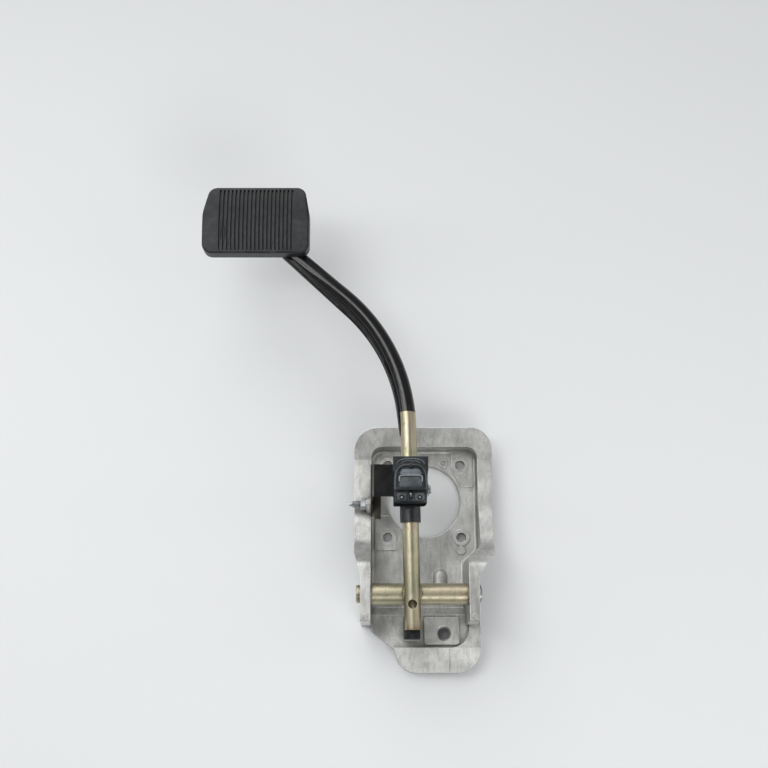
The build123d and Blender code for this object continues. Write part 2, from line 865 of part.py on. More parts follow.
with BuildPart() as bracket_bolt:
    with BuildSketch(bolt_plane.offset(strap_in_x)):
        Circle(bolt_head_r)
    extrude(amount=bolt_head_t)
    fillet(bracket_bolt.edges().sort_by(Axis.X)[-1], bolt_head_edge)
    with BuildSketch(bolt_plane.offset(strap_in_x)):
        Circle(bolt_r)
    extrude(amount=wall_out_x - bolt_out + bolt_tip_len - strap_in_x)
    with BuildSketch(bolt_plane.offset(wall_out_x - bolt_out + bolt_tip_len)):
        Circle(bolt_tip_r)
    extrude(amount=-bolt_tip_len)

with BuildPart() as bracket_washer:
    with BuildSketch(bolt_plane.offset(wall_out_x)):
        Circle(washer_r)
        Circle(bolt_r + loose_fit, mode=Mode.SUBTRACT)
    extrude(amount=-washer_t)

with BuildPart() as bracket_nut:
    nut_plane = bolt_plane.offset(wall_out_x - washer_t)
    with BuildSketch(nut_plane):
        RegularPolygon(nut_flats / 2, 6, major_radius=False)
    extrude(amount=-nut_t)
    chamfer(bracket_nut.faces().sort_by(Axis.X)[0].edges(), nut_edge)
    with Locations(nut_plane):
        Cylinder(bolt_r + running_fit, nut_t * 3, mode=Mode.SUBTRACT)

# Stop-lamp switch

socket_floor_y = switch_top_y + collar_h - socket_depth
blade_places = (switch_x, socket_floor_y - blade_root, face_z + socket_z)
arch_points = (
    (switch_x - arch_w / 2, arch_top_y),
    (switch_x + arch_w / 2, arch_top_y),
    (switch_x + arch_w / 2, arch_low_y),
    (switch_x - arch_w / 2, arch_low_y),
)
arch_radii = (arch_corner_r, arch_corner_r, arch_foot_r, arch_foot_r)

with BuildPart() as switch_terminals:
    with Locations(blade_places):
        with GridLocations(blade_pitch, 1, blade_count, 1):
            Box(blade_w, blade_root + blade_out, blade_t, align=(Align.CENTER, Align.MIN, Align.CENTER))

with BuildPart() as switch_housing:
    with BuildSketch(Plane.XY.offset(face_z)):
        with Locations((switch_x, (switch_low_y + switch_top_y) / 2)):
            RectangleRounded(switch_w, switch_top_y - switch_low_y, switch_corner_r)
    extrude(amount=switch_h)
    with BuildSketch(Plane.XY.offset(face_z + collar_low)):
        with Locations((switch_x, switch_top_y)):
            Rectangle(collar_w, collar_h + switch_corner_r, align=(Align.CENTER, Align.MAX))
            Rectangle(collar_w, collar_h, align=(Align.CENTER, Align.MIN))
    extrude(amount=collar_high - collar_low)
    with BuildSketch(Plane.XY.offset(switch_front_z)):
        with BuildLine():
            FilletPolyline(*arch_points, radius=arch_radii, close=True)
        make_face()
    extrude(amount=arch_h)
    with BuildSketch(Plane.XY.offset(switch_front_z)):
        with BuildLine():
            FilletPolyline(*arch_points, radius=arch_radii, close=True)
        make_face()
        offset(amount=-arch_rim, mode=Mode.REPLACE)
    extrude(amount=arch_h, mode=Mode.SUBTRACT)
    with Locations((switch_x, switch_top_y + collar_h, face_z + socket_z)):
        Box(
            socket_w,
            socket_depth,
            socket_h,
            align=(Align.CENTER, Align.MAX, Align.CENTER),
            mode=Mode.SUBTRACT,
        )
    add(switch_terminals.part, mode=Mode.SUBTRACT)
    with Locations((switch_x, arch_low_y, switch_front_z)):
        Box(
            channel_w,
            arch_low_y - switch_low_y,
            channel_depth * 2,
            align=(Align.CENTER, Align.MAX, Align.CENTER),
            mode=Mode.SUBTRACT,
        )
    with Locations((plunger_x, plunger_y, face_z)):
        Cylinder(
            plunger_bore_r,
            plunger_bore_h,
            align=(Align.CENTER, Align.CENTER, Align.MIN),
            mode=Mode.SUBTRACT,
        )
    with Locations((switch_x, screw_y, switch_front_z)):
        with GridLocations(screw_spread, 1, 2, 1):
            Hole(screw_r + running_fit, switch_h)

with BuildPart() as switch_cover:
    with BuildSketch(Plane.XY.offset(switch_front_z)):
        with BuildLine():
            FilletPolyline(*arch_points, radius=arch_radii, close=True)
        make_face()
        offset(amount=-arch_rim - cover_gap, mode=Mode.REPLACE)
    extrude(amount=cover_h)
    with BuildSketch(Plane.XY.offset(switch_front_z + cover_h)):
        with Locations((switch_x, ridge_y)):
            Rectangle(arch_w - arch_rim * 2 - ridge_margin, ridge_w)
    extrude(amount=ridge_h)

with BuildPart() as switch_screws:
    with Locations((switch_x, screw_y, switch_front_z)):
        with GridLocations(screw_spread, 1, 2, 1):
            Cylinder(screw_head_r, screw_head_t, align=(Align.CENTER, Align.CENTER, Align.MIN))
            Cylinder(
                screw_r,
                switch_h + sheet_t + screw_out,
                align=(Align.CENTER, Align.CENTER, Align.MAX),
            )

plunger_head_base = face_z + plunger_head_z
spring_base = plunger_head_base + plunger_head_t + seat_gap / 2
spring_top = face_z + plunger_bore_h - seat_gap / 2

with BuildPart() as switch_plunger:
    with BuildSketch(Plane.XY.offset(plunger_tip_z)):
        with Locations((plunger_x, plunger_y)):
            Circle(plunger_r)
    extrude(amount=plunger_head_base - plunger_tip_z)
    fillet(switch_plunger.edges().sort_by(Axis.Z)[0], plunger_tip_edge)
    with BuildSketch(Plane.XY.offset(plunger_head_base)):
        with Locations((plunger_x, plunger_y)):
            Circle(plunger_head_r)
    extrude(amount=plunger_head_t)

with BuildPart() as plunger_spring:
    coil_h = spring_top - spring_base - spring_wire
    with BuildLine() as coil:
        Helix(
            coil_h / spring_turns,
            coil_h,
            spring_r,
            center=(plunger_x, plunger_y, spring_base + spring_wire / 2),
        )
    with BuildSketch(Plane(coil.line @ 0, z_dir=coil.line % 0)):
        Circle(spring_wire / 2)
    sweep(path=coil.line, is_frenet=True)

pieces = {
    "bracket_casting": bracket_casting,
    "pivot_shaft": pivot_shaft,
    "shaft_retainer": shaft_retainer,
    "pivot_tube": pivot_tube,
    "pivot_bush_left": pivot_bush_left,
    "pivot_bush_right": pivot_bush_right,
    "arm_tube": arm_tube,
    "arm_gusset": arm_gusset,
    "pivot_welds": pivot_welds,
    "pad_plate": pad_plate,
    "pad_welds": pad_welds,
    "pedal_pad": pedal_pad,
    "pushrod_pin": pushrod_pin,
    "striker_sleeve": striker_sleeve,
    "return_stop": return_stop,
    "switch_bracket": switch_bracket,
    "loom_strap": loom_strap,
    "bracket_bolt": bracket_bolt,
    "bracket_washer": bracket_washer,
    "bracket_nut": bracket_nut,
    "switch_housing": switch_housing,
    "switch_cover": switch_cover,
    "switch_terminals": switch_terminals,
    "switch_screws": switch_screws,
    "switch_plunger": switch_plunger,
    "plunger_spring": plunger_spring,
}
for name, piece in pieces.items():
    piece.part.label = name
    export_step(piece.part, f"parts/{name}.step")
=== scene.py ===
# %% [markdown]
# # A hanging brake pedal, dressed for its portrait
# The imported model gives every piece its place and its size, and this script never moves one. It adds what a
# solid model lacks: the finish that each surface got in the factory, the marks that use left on it, and a
# few small pieces, such as weld beads and threads, that are quicker to work out as curved surfaces.
# Everything is in metres, in the model's own frame: X along the pivot shaft, Y from the pivot to the foot
# pad, Z to the driver.

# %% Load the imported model
import math

import bpy
import numpy as np
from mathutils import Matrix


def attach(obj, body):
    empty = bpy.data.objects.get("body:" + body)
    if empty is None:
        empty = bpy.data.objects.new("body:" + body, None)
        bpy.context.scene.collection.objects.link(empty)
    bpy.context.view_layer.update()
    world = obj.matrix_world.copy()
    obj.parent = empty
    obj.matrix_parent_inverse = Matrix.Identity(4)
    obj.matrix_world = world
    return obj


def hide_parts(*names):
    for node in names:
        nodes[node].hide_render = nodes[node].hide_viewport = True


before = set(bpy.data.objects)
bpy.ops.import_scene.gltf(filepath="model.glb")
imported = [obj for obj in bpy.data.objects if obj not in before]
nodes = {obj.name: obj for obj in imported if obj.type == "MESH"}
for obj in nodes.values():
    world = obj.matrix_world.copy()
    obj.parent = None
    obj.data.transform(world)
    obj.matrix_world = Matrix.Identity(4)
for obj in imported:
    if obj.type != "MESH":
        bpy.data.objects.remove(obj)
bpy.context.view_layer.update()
MM = 0.001

# %% [markdown]
# ## Camera
# The photograph looks almost straight down on the bracket, a little from the pivot's end, through a
# moderately long lens. A camera in Blender looks along its own -Z, so a small turn about X is all that it
# needs.

# %% Camera
camera_place = (-0.0407, -0.1975, 1.113)
camera_tilt = math.radians(16.2)
focal_pixels = 1100.0
frame_pixels = 768.0

camera = bpy.data.objects.new("camera", bpy.data.cameras.new("camera"))
camera.data.sensor_width = 36.0
camera.data.lens = camera.data.sensor_width * focal_pixels / frame_pixels
camera.location = camera_place
camera.rotation_euler = (camera_tilt, 0.0, 0.0)
bpy.context.scene.collection.objects.link(camera)
bpy.context.scene.camera = camera
print("lens:", round(camera.data.lens, 2), "mm")

# %% [markdown]
# ## Helpers for shader nodes
# A material in Blender is a small graph. One function adds a node, sets its properties and joins its
# inputs, so a whole material reads as a list of nodes. Colours are written as the hex codes that a colour
# picker shows, which are sRGB, and one function turns them into the linear values that the renderer works
# with.


# %% Colour and node helpers
def colour(code):
    """Linear RGBA of an sRGB hex code: divide by 12.92 near black, a power of 2.4 above that."""
    srgb = np.array([int(code[i:i + 2], 16) for i in (1, 3, 5)]) / 255.0
    linear = np.where(srgb <= 0.04045, srgb / 12.92, ((srgb + 0.055) / 1.055) ** 2.4)
    return (*linear.tolist(), 1.0)


def add_node(tree, kind, inputs=None, **settings):
    """Adds a shader node; settings are its properties, inputs are values or the sockets that feed it."""
    made = tree.nodes.new(kind)
    for name, value in settings.items():
        setattr(made, name, value)
    for name, value in (inputs or {}).items():
        if isinstance(value, bpy.types.NodeSocket):
            tree.links.new(value, made.inputs[name])
        else:
            made.inputs[name].default_value = value
    return made


def start_material(name, **shader):
    """A material with one Principled shader, whose constant values are set on its own sockets."""
    material = bpy.data.materials.new(name)
    material.use_nodes = True
    principled = material.node_tree.nodes["Principled BSDF"]
    for socket, value in shader.items():
        principled.inputs[socket.replace("_", " ").title().replace("Ior", "IOR")].default_value = value
    return material, material.node_tree, principled


def per_metre(size_mm):
    """Scale of a texture whose features are about size_mm wide, on Object coordinates in metres."""
    return 1.0 / (size_mm * MM)


print("mid grey in linear light:", [round(value, 3) for value in colour("#808080")[:3]])

# %% [markdown]
# ## Wear, painted highlight and painted shade from the shape itself
# Handling polishes corners bright, and on some finishes the lighter edges are partly a painted highlight.
# Hollows are painted darker, as painted shade. Two nodes can find both on any mesh. The Bevel node gives
# the normal of a slightly rounded surface: where it differs from the true normal there is an edge. The
# Ambient Occlusion node says how closed-in a point is. Together they tell an outer edge from an inner corner.


# %% Edge and hollow masks
def edge_and_hollow(tree, edge_mm, hollow_mm):
    """Two masks, 0 to 1: outer edges about edge_mm wide, and hollows closer than hollow_mm to other walls."""
    rounded = add_node(tree, "ShaderNodeBevel", {"Radius": edge_mm * MM}, samples=6)
    true = add_node(tree, "ShaderNodeNewGeometry")
    along = add_node(tree, "ShaderNodeVectorMath", {0: rounded.outputs["Normal"], 1: true.outputs["Normal"]},
                     operation="DOT_PRODUCT")
    any_edge = add_node(tree, "ShaderNodeMapRange", {"Value": along.outputs["Value"], "From Min": 0.992,
                                                     "From Max": 0.90})
    open_sky = add_node(tree, "ShaderNodeAmbientOcclusion", {"Distance": hollow_mm * MM}, samples=8)
    hollow = add_node(tree, "ShaderNodeMapRange", {"Value": open_sky.outputs["AO"], "From Min": 0.85,
                                                   "From Max": 0.35})
    in_the_open = add_node(tree, "ShaderNodeMath", {0: 1.0, 1: hollow.outputs[0]}, operation="SUBTRACT")
    edge = add_node(tree, "ShaderNodeMath", {0: any_edge.outputs[0], 1: in_the_open.outputs[0]},
                    operation="MULTIPLY")
    return edge.outputs[0], hollow.outputs[0], rounded.outputs["Normal"]


# %% [markdown]
# ## Die-cast aluminium
# The bracket was shot into a steel die. The skin of such a casting is pale and slightly cloudy, with flow
# marks where the metal ran, a fine pitted grain, and bright metal where edges have rubbed. So the colour is
# a mix of two near greys, specks of a millimetre are darker, hollows are painted darker as painted shade,
# outer edges are lighter, partly as rubbed metal and partly as a painted highlight, and smoother, and the
# bump is a fine grain. To the eye it is a soft grey sheen with no clear reflection.


# %% Die-cast aluminium
def die_cast_aluminium():
    """As-cast skin: clouds 26 mm wide, flow marks stretched along Y, specks of 1.2 mm, grain, painted shade in
    hollows, bright edges that are partly a painted highlight.
    """
    material, tree, shader = start_material("die_cast_aluminium", metallic=0.8)
    place = add_node(tree, "ShaderNodeTexCoord").outputs["Object"]
    edge, hollow, soft_normal = edge_and_hollow(tree, edge_mm=0.9, hollow_mm=9.0)
    clouds = add_node(tree, "ShaderNodeTexNoise", {"Vector": place, "Scale": per_metre(26.0), "Detail": 5.0,
                                                   "Roughness": 0.55})
    cloud_mask = add_node(tree, "ShaderNodeMapRange", {"Value": clouds.outputs[0], "From Min": 0.34,
                                                       "From Max": 0.66})
    stretched = add_node(tree, "ShaderNodeMapping", {"Vector": place, "Scale": (1.0, 0.25, 1.0)})
    flow = add_node(tree, "ShaderNodeTexNoise", {"Vector": stretched.outputs[0], "Scale": per_metre(3.5),
                                                 "Detail": 4.0})
    flow_mask = add_node(tree, "ShaderNodeMapRange", {"Value": flow.outputs[0], "From Min": 0.48,
                                                      "From Max": 0.76, "To Max": 0.45})
    specks = add_node(tree, "ShaderNodeTexNoise", {"Vector": place, "Scale": per_metre(1.2), "Detail": 3.0,
                                                   "Roughness": 0.6})
    speck_mask = add_node(tree, "ShaderNodeMapRange", {"Value": specks.outputs[0], "From Min": 0.52,
                                                       "From Max": 0.74, "To Max": 0.5})
    # The real grain is finer than a pixel of the picture, so it is drawn 0.8 mm wide to show.
    grain = add_node(tree, "ShaderNodeTexNoise", {"Vector": place, "Scale": per_metre(0.8), "Detail": 3.0})
    skin = add_node(tree, "ShaderNodeMix", {0: cloud_mask.outputs[0], 6: colour("#aeaeab"), 7: colour("#dbdbd8")},
                    data_type="RGBA")
    flowed = add_node(tree, "ShaderNodeMix", {0: flow_mask.outputs[0], 6: skin.outputs[2], 7: colour("#83827e")},
                      data_type="RGBA")
    specked = add_node(tree, "ShaderNodeMix", {0: speck_mask.outputs[0], 6: flowed.outputs[2],
                                               7: colour("#807f7a")}, data_type="RGBA")
    # Hollows are painted darker: painted shade.
    painted_hollow_shade = add_node(tree, "ShaderNodeMath", {0: hollow, 1: 0.7}, operation="MULTIPLY")
    hollow_shaded_skin = add_node(tree, "ShaderNodeMix", {0: painted_hollow_shade.outputs[0], 6: specked.outputs[2], 7: colour("#5c5953")},
                     data_type="RGBA")
    # Outer edges go near white: partly rubbed metal, partly a painted highlight.
    with_edges = add_node(tree, "ShaderNodeMix", {0: edge, 6: hollow_shaded_skin.outputs[2], 7: colour("#f2f2ef")},
                    data_type="RGBA")
    cast_roughness = add_node(tree, "ShaderNodeMapRange", {"Value": specks.outputs[0], "From Min": 0.3,
                                                           "From Max": 0.7, "To Min": 0.38, "To Max": 0.56})
    roughness = add_node(tree, "ShaderNodeMix", {0: edge, 2: cast_roughness.outputs[0], 3: 0.26})
    bump = add_node(tree, "ShaderNodeBump", {"Height": grain.outputs[0], "Normal": soft_normal, "Strength": 0.4,
                                             "Distance": 0.25 * MM})
    tree.links.new(with_edges.outputs[2], shader.inputs["Base Color"])
    tree.links.new(roughness.outputs[0], shader.inputs["Roughness"])
    tree.links.new(bump.outputs[0], shader.inputs["Normal"])
    return material


casting_finish = die_cast_aluminium()
print("made:", casting_finish.name, "with", len(casting_finish.node_tree.nodes), "nodes")

# %% [markdown]
# ## Yellow zinc plate
# The arm and the cross tube were zinc plated and dipped in yellow chromate, which ages to a pale olive
# beige with faint green and pink bands, and rusts first at the cut end of the tube. To the eye it is a
# metal with long soft highlights and a warm tint that drifts. The tint is a function of its own, because
# the painted arm shows it too.

# %% Yellow zinc plate
tail_end_y = -132.0 * MM
rust_reach = 6.0 * MM


def chromate_colours(tree, place):
    """The film's colour, olive beige to green and pink in clouds of 22 mm, stained and rusty; and drawn marks."""
    drift = add_node(tree, "ShaderNodeTexNoise", {"Vector": place, "Scale": per_metre(22.0), "Detail": 3.0,
                                                  "Distortion": 0.6})
    to_green = add_node(tree, "ShaderNodeMapRange", {"Value": drift.outputs[0], "From Min": 0.50,
                                                     "From Max": 0.72})
    to_pink = add_node(tree, "ShaderNodeMapRange", {"Value": drift.outputs[0], "From Min": 0.46,
                                                    "From Max": 0.28})
    stretched = add_node(tree, "ShaderNodeMapping", {"Vector": place, "Scale": (1.0, 0.12, 1.0)})
    marks = add_node(tree, "ShaderNodeTexNoise", {"Vector": stretched.outputs[0], "Scale": per_metre(1.6),
                                                  "Detail": 4.0})
    green = add_node(tree, "ShaderNodeMix", {0: to_green.outputs[0], 6: colour("#b9b198"), 7: colour("#a4a389")},
                     data_type="RGBA")
    pink = add_node(tree, "ShaderNodeMix", {0: to_pink.outputs[0], 6: green.outputs[2], 7: colour("#bba998")},
                    data_type="RGBA")
    mark_mask = add_node(tree, "ShaderNodeMapRange", {"Value": marks.outputs[0], "From Min": 0.55,
                                                      "From Max": 0.80, "To Max": 0.5})
    marked = add_node(tree, "ShaderNodeMix", {0: mark_mask.outputs[0], 6: pink.outputs[2], 7: colour("#756d52")},
                      data_type="RGBA")
    stains = add_node(tree, "ShaderNodeTexNoise", {"Vector": place, "Scale": per_metre(7.0), "Detail": 6.0,
                                                   "Roughness": 0.7})
    stain_mask = add_node(tree, "ShaderNodeMapRange", {"Value": stains.outputs[0], "From Min": 0.56,
                                                       "From Max": 0.76, "To Max": 0.6})
    stained = add_node(tree, "ShaderNodeMix", {0: stain_mask.outputs[0], 6: marked.outputs[2],
                                               7: colour("#6e573c")}, data_type="RGBA")
    split = add_node(tree, "ShaderNodeSeparateXYZ", {"Vector": place})
    near_tail = add_node(tree, "ShaderNodeMapRange", {"Value": split.outputs["Y"], "To Max": 0.8,
                                                      "From Min": tail_end_y + rust_reach,
                                                      "From Max": tail_end_y})
    rust_mask = add_node(tree, "ShaderNodeMath", {0: near_tail.outputs[0], 1: drift.outputs[0]},
                         operation="MULTIPLY", use_clamp=True)
    rusty = add_node(tree, "ShaderNodeMix", {0: rust_mask.outputs[0], 6: stained.outputs[2], 7: colour("#7a4f33")},
                     data_type="RGBA")
    return rusty.outputs[2], marks.outputs[0]


def yellow_zinc_plate():
    """Zinc plate under yellow chromate: a metal with a drifting film, hollows painted darker as painted shade, and
    pale rubbed edges.
    """
    material, tree, shader = start_material("yellow_zinc_plate", metallic=1.0)
    place = add_node(tree, "ShaderNodeTexCoord").outputs["Object"]
    edge, hollow, soft_normal = edge_and_hollow(tree, edge_mm=0.6, hollow_mm=5.0)
    film, marks = chromate_colours(tree, place)
    # Hollows are painted darker: painted shade.
    shaded_film = add_node(tree, "ShaderNodeMix", {0: hollow, 6: film, 7: colour("#5f563e")}, data_type="RGBA")
    with_edges = add_node(tree, "ShaderNodeMix", {0: edge, 6: shaded_film.outputs[2], 7: colour("#e6e2d2")},
                    data_type="RGBA")
    roughness = add_node(tree, "ShaderNodeMapRange", {"Value": marks, "From Min": 0.3, "From Max": 0.7,
                                                      "To Min": 0.30, "To Max": 0.46})
    bump = add_node(tree, "ShaderNodeBump", {"Height": marks, "Normal": soft_normal, "Strength": 0.2,
                                             "Distance": 0.1 * MM})
    tree.links.new(with_edges.outputs[2], shader.inputs["Base Color"])
    tree.links.new(roughness.outputs[0], shader.inputs["Roughness"])
    tree.links.new(bump.outputs[0], shader.inputs["Normal"])
    return material


zinc_finish = yellow_zinc_plate()
print("made:", zinc_finish.name, "with", len(zinc_finish.node_tree.nodes), "nodes")

# %% [markdown]
# ## Gloss black paint on the arm
# The pedal end of the plated arm was sprayed gloss black up to a strip of tape, so one material carries
# both and changes at a line across Y. The line is sharp, because tape was peeled off it. The paint gives
# the eye a deep black with narrow bright highlights. The strip and the pad's plate are painted all over, so
# their line lies below everything.

# %% Gloss black paint above the tape line
tube_tape_y = 72.8 * MM
below_everything_y = -1.0


def painted_zinc_plate(name, tape_y):
    """Yellow zinc plate below the tape line and gloss black spray paint above it, with a faint orange peel."""
    material, tree, shader = start_material(name)
    place = add_node(tree, "ShaderNodeTexCoord").outputs["Object"]
    split = add_node(tree, "ShaderNodeSeparateXYZ", {"Vector": place})
    ragged = add_node(tree, "ShaderNodeTexNoise", {"Vector": place, "Scale": per_metre(2.5), "Detail": 2.0})
    wander = add_node(tree, "ShaderNodeMath", {0: ragged.outputs[0], 1: 0.8 * MM, 2: split.outputs["Y"]},
                      operation="MULTIPLY_ADD")
    painted = add_node(tree, "ShaderNodeMapRange", {"Value": wander.outputs[0], "From Min": tape_y,
                                                    "From Max": tape_y + 0.5 * MM})
    hollow, soft_normal = edge_and_hollow(tree, edge_mm=0.7, hollow_mm=5.0)[1:]
    film, marks = chromate_colours(tree, place)
    # Hollows on the bare plate are painted darker: painted shade.
    shaded_film = add_node(tree, "ShaderNodeMix", {0: hollow, 6: film, 7: colour("#5f563e")}, data_type="RGBA")
    scuffs = add_node(tree, "ShaderNodeTexNoise", {"Vector": place, "Scale": per_metre(9.0), "Detail": 8.0,
                                                   "Roughness": 0.7})
    scuff_mask = add_node(tree, "ShaderNodeMapRange", {"Value": scuffs.outputs[0], "From Min": 0.55,
                                                       "From Max": 0.85})
    paint = add_node(tree, "ShaderNodeMix", {0: scuff_mask.outputs[0], 6: colour("#0b0b0c"), 7: colour("#1d1d1e")},
                     data_type="RGBA")
    base = add_node(tree, "ShaderNodeMix", {0: painted.outputs[0], 6: shaded_film.outputs[2], 7: paint.outputs[2]},
                    data_type="RGBA")
    metal = add_node(tree, "ShaderNodeMath", {0: 1.0, 1: painted.outputs[0]}, operation="SUBTRACT")
    paint_roughness = add_node(tree, "ShaderNodeMapRange", {"Value": scuffs.outputs[0], "From Min": 0.4,
                                                            "From Max": 0.8, "To Min": 0.13, "To Max": 0.32})
    plate_roughness = add_node(tree, "ShaderNodeMapRange", {"Value": marks, "From Min": 0.3, "From Max": 0.7,
                                                            "To Min": 0.30, "To Max": 0.46})
    roughness = add_node(tree, "ShaderNodeMix", {0: painted.outputs[0], 2: plate_roughness.outputs[0],
                                                 3: paint_roughness.outputs[0]})
    peel = add_node(tree, "ShaderNodeTexNoise", {"Vector": place, "Scale": per_metre(1.8), "Detail": 1.0})
    bump = add_node(tree, "ShaderNodeBump", {"Height": peel.outputs[0], "Normal": soft_normal, "Strength": 0.12,
                                             "Distance": 0.1 * MM})
    tree.links.new(base.outputs[2], shader.inputs["Base Color"])
    tree.links.new(metal.outputs[0], shader.inputs["Metallic"])
    tree.links.new(roughness.outputs[0], shader.inputs["Roughness"])
    tree.links.new(bump.outputs[0], shader.inputs["Normal"])
    return material


arm_finish = painted_zinc_plate("gloss_black_paint_over_yellow_zinc", tube_tape_y)
paint_finish = painted_zinc_plate("gloss_black_paint", below_everything_y)
print("made:", arm_finish.name, "and", paint_finish.name)

# %% [markdown]
# ## Rubber, plastics and painted sheet
# These are all dark and differ mostly in how they shine. Moulded rubber is matt with dust on it,
# glass-filled nylon has a fine spark grain from the mould, and the folded bracket was dipped in satin
# paint. One function makes them, from a colour, a colour for wear and painted edge glints, a roughness range
# and a grain size, and it paints their hollows darker as painted shade. The real grains are 0.1 to 0.3 mm
# wide, too fine for the picture, so they are drawn two or more times as wide.


# %% Dark finishes
def dark_finish(name, body, wear_and_glint_colour, rough, grain_mm, grain_depth_mm, edge_mm, **shader_values):
    """A dark coat: clouds between its body and wear colours, paler edges that are partly wear and partly a painted
    highlight, hollows painted near black as painted shade, and a bump of the given grain.
    """
    material, tree, shader = start_material(name, **shader_values)
    place = add_node(tree, "ShaderNodeTexCoord").outputs["Object"]
    edge, hollow, soft_normal = edge_and_hollow(tree, edge_mm=edge_mm, hollow_mm=4.0)
    clouds = add_node(tree, "ShaderNodeTexNoise", {"Vector": place, "Scale": per_metre(11.0), "Detail": 7.0,
                                                   "Roughness": 0.68})
    dusted = add_node(tree, "ShaderNodeMapRange", {"Value": clouds.outputs[0], "From Min": 0.45, "From Max": 0.8,
                                                   "To Max": 0.7})
    # Edges take the wear colour too: partly rubbed wear, partly a painted highlight of their glints.
    wear_and_glint_mask = add_node(tree, "ShaderNodeMath", {0: edge, 1: 0.6, 2: dusted.outputs[0]}, operation="MULTIPLY_ADD",
                      use_clamp=True)
    coat = add_node(tree, "ShaderNodeMix", {0: wear_and_glint_mask.outputs[0], 6: colour(body), 7: colour(wear_and_glint_colour)},
                    data_type="RGBA")
    # Hollows are painted near black: painted shade.
    shade = add_node(tree, "ShaderNodeMath", {0: hollow, 1: 0.85}, operation="MULTIPLY")
    shaded = add_node(tree, "ShaderNodeMix", {0: shade.outputs[0], 6: coat.outputs[2], 7: colour("#050505")},
                      data_type="RGBA")
    roughness = add_node(tree, "ShaderNodeMapRange", {"Value": clouds.outputs[0], "From Min": 0.35,
                                                      "From Max": 0.7, "To Min": rough[0], "To Max": rough[1]})
    grain = add_node(tree, "ShaderNodeTexNoise", {"Vector": place, "Scale": per_metre(grain_mm), "Detail": 2.0})
    bump = add_node(tree, "ShaderNodeBump", {"Height": grain.outputs[0], "Normal": soft_normal, "Strength": 0.4,
                                             "Distance": grain_depth_mm * MM})
    tree.links.new(shaded.outputs[2], shader.inputs["Base Color"])
    tree.links.new(roughness.outputs[0], shader.inputs["Roughness"])
    tree.links.new(bump.outputs[0], shader.inputs["Normal"])
    return material


moulding = {"grain_mm": 0.6, "edge_mm": 0.4}
# Rubber is matt and dusty: its ribs show by their shade more than by their shine, and its grooves are
# painted darker as painted shade.
rubber_finish = dark_finish("moulded_black_rubber", "#191b1d", "#4a4e52", rough=(0.34, 0.52), grain_mm=0.7,
                            grain_depth_mm=0.10, edge_mm=0.6, specular_ior_level=0.38)
# Nylon from a mould is satin, with a grey bloom where hands and dust have been. Black carries glass fibre.
plastic_finish = dark_finish("moulded_glass_filled_nylon", "#14181b", "#4a5157", rough=(0.26, 0.46),
                             grain_depth_mm=0.06, **moulding)
cover_finish = dark_finish("moulded_grey_nylon", "#3a4245", "#7c868b", rough=(0.30, 0.46), grain_depth_mm=0.06,
                           **moulding)
# The sloping latch face and the collar ribs get a paler copy of the grey nylon: painted light and glints.
# The lip is painted nearly white: a painted highlight.
latch_lit_finish = dark_finish("grey_nylon_painted_light", "#59636a", "#8f999e", rough=(0.32, 0.48), grain_depth_mm=0.06,
                           **moulding)
lip_highlight_finish = dark_finish("grey_nylon_painted_highlight", "#788287", "#c2cace", rough=(0.24, 0.38), grain_mm=0.6,
                         grain_depth_mm=0.05, edge_mm=0.5)
# The window is a plate painted near black as the shade inside a hole: dull, and darker than all round it.
window_shade_finish = dark_finish("black_nylon_painted_shade", "#060707", "#101111", rough=(0.45, 0.60), grain_mm=0.6,
                            grain_depth_mm=0.05, edge_mm=0.3)
# Satin paint on sheet is nearly black, with a soft clear highlight on its folds.
sheet_finish = dark_finish("satin_black_painted_steel", "#060707", "#111212", rough=(0.14, 0.26), grain_mm=1.4,
                           grain_depth_mm=0.05, edge_mm=0.5, specular_ior_level=0.4)
print("made: rubber, nylon and painted sheet, such as", rubber_finish.name)

# %% [markdown]
# ## Small metal and nylon pieces
# Bright zinc on the fasteners, brass terminal blades, drawn spring wire and natural nylon bushes share one
# recipe: a base colour that drifts a little and is painted darker in hollows as painted shade, and a fine
# grain in its roughness and bump.


# %% Small pieces
def plain_finish(name, body, shade, rough, grain_mm, **shader_values):
    """A clean material: clouds of 5 mm between two near colours, pushed to the darker one in hollows as painted
    shade, and a fine grain in its roughness.
    """
    material, tree, shader = start_material(name, **shader_values)
    place = add_node(tree, "ShaderNodeTexCoord").outputs["Object"]
    hollow, soft_normal = edge_and_hollow(tree, edge_mm=0.4, hollow_mm=3.0)[1:]
    clouds = add_node(tree, "ShaderNodeTexNoise", {"Vector": place, "Scale": per_metre(5.0), "Detail": 5.0})
    # Hollows push the mix towards the darker colour: painted shade, on top of the drifting clouds.
    shaded = add_node(tree, "ShaderNodeMath", {0: hollow, 1: 0.6, 2: clouds.outputs[0]}, operation="MULTIPLY_ADD")
    mask = add_node(tree, "ShaderNodeMapRange", {"Value": shaded.outputs[0], "From Min": 0.4, "From Max": 0.8})
    base = add_node(tree, "ShaderNodeMix", {0: mask.outputs[0], 6: colour(body), 7: colour(shade)},
                    data_type="RGBA")
    grain = add_node(tree, "ShaderNodeTexNoise", {"Vector": place, "Scale": per_metre(grain_mm), "Detail": 2.0})
    roughness = add_node(tree, "ShaderNodeMapRange", {"Value": grain.outputs[0], "From Min": 0.3, "From Max": 0.7,
                                                      "To Min": rough[0], "To Max": rough[1]})
    bump = add_node(tree, "ShaderNodeBump", {"Height": grain.outputs[0], "Normal": soft_normal, "Strength": 0.15,
                                             "Distance": 0.08 * MM})
    tree.links.new(base.outputs[2], shader.inputs["Base Color"])
    tree.links.new(roughness.outputs[0], shader.inputs["Roughness"])
    tree.links.new(bump.outputs[0], shader.inputs["Normal"])
    return material


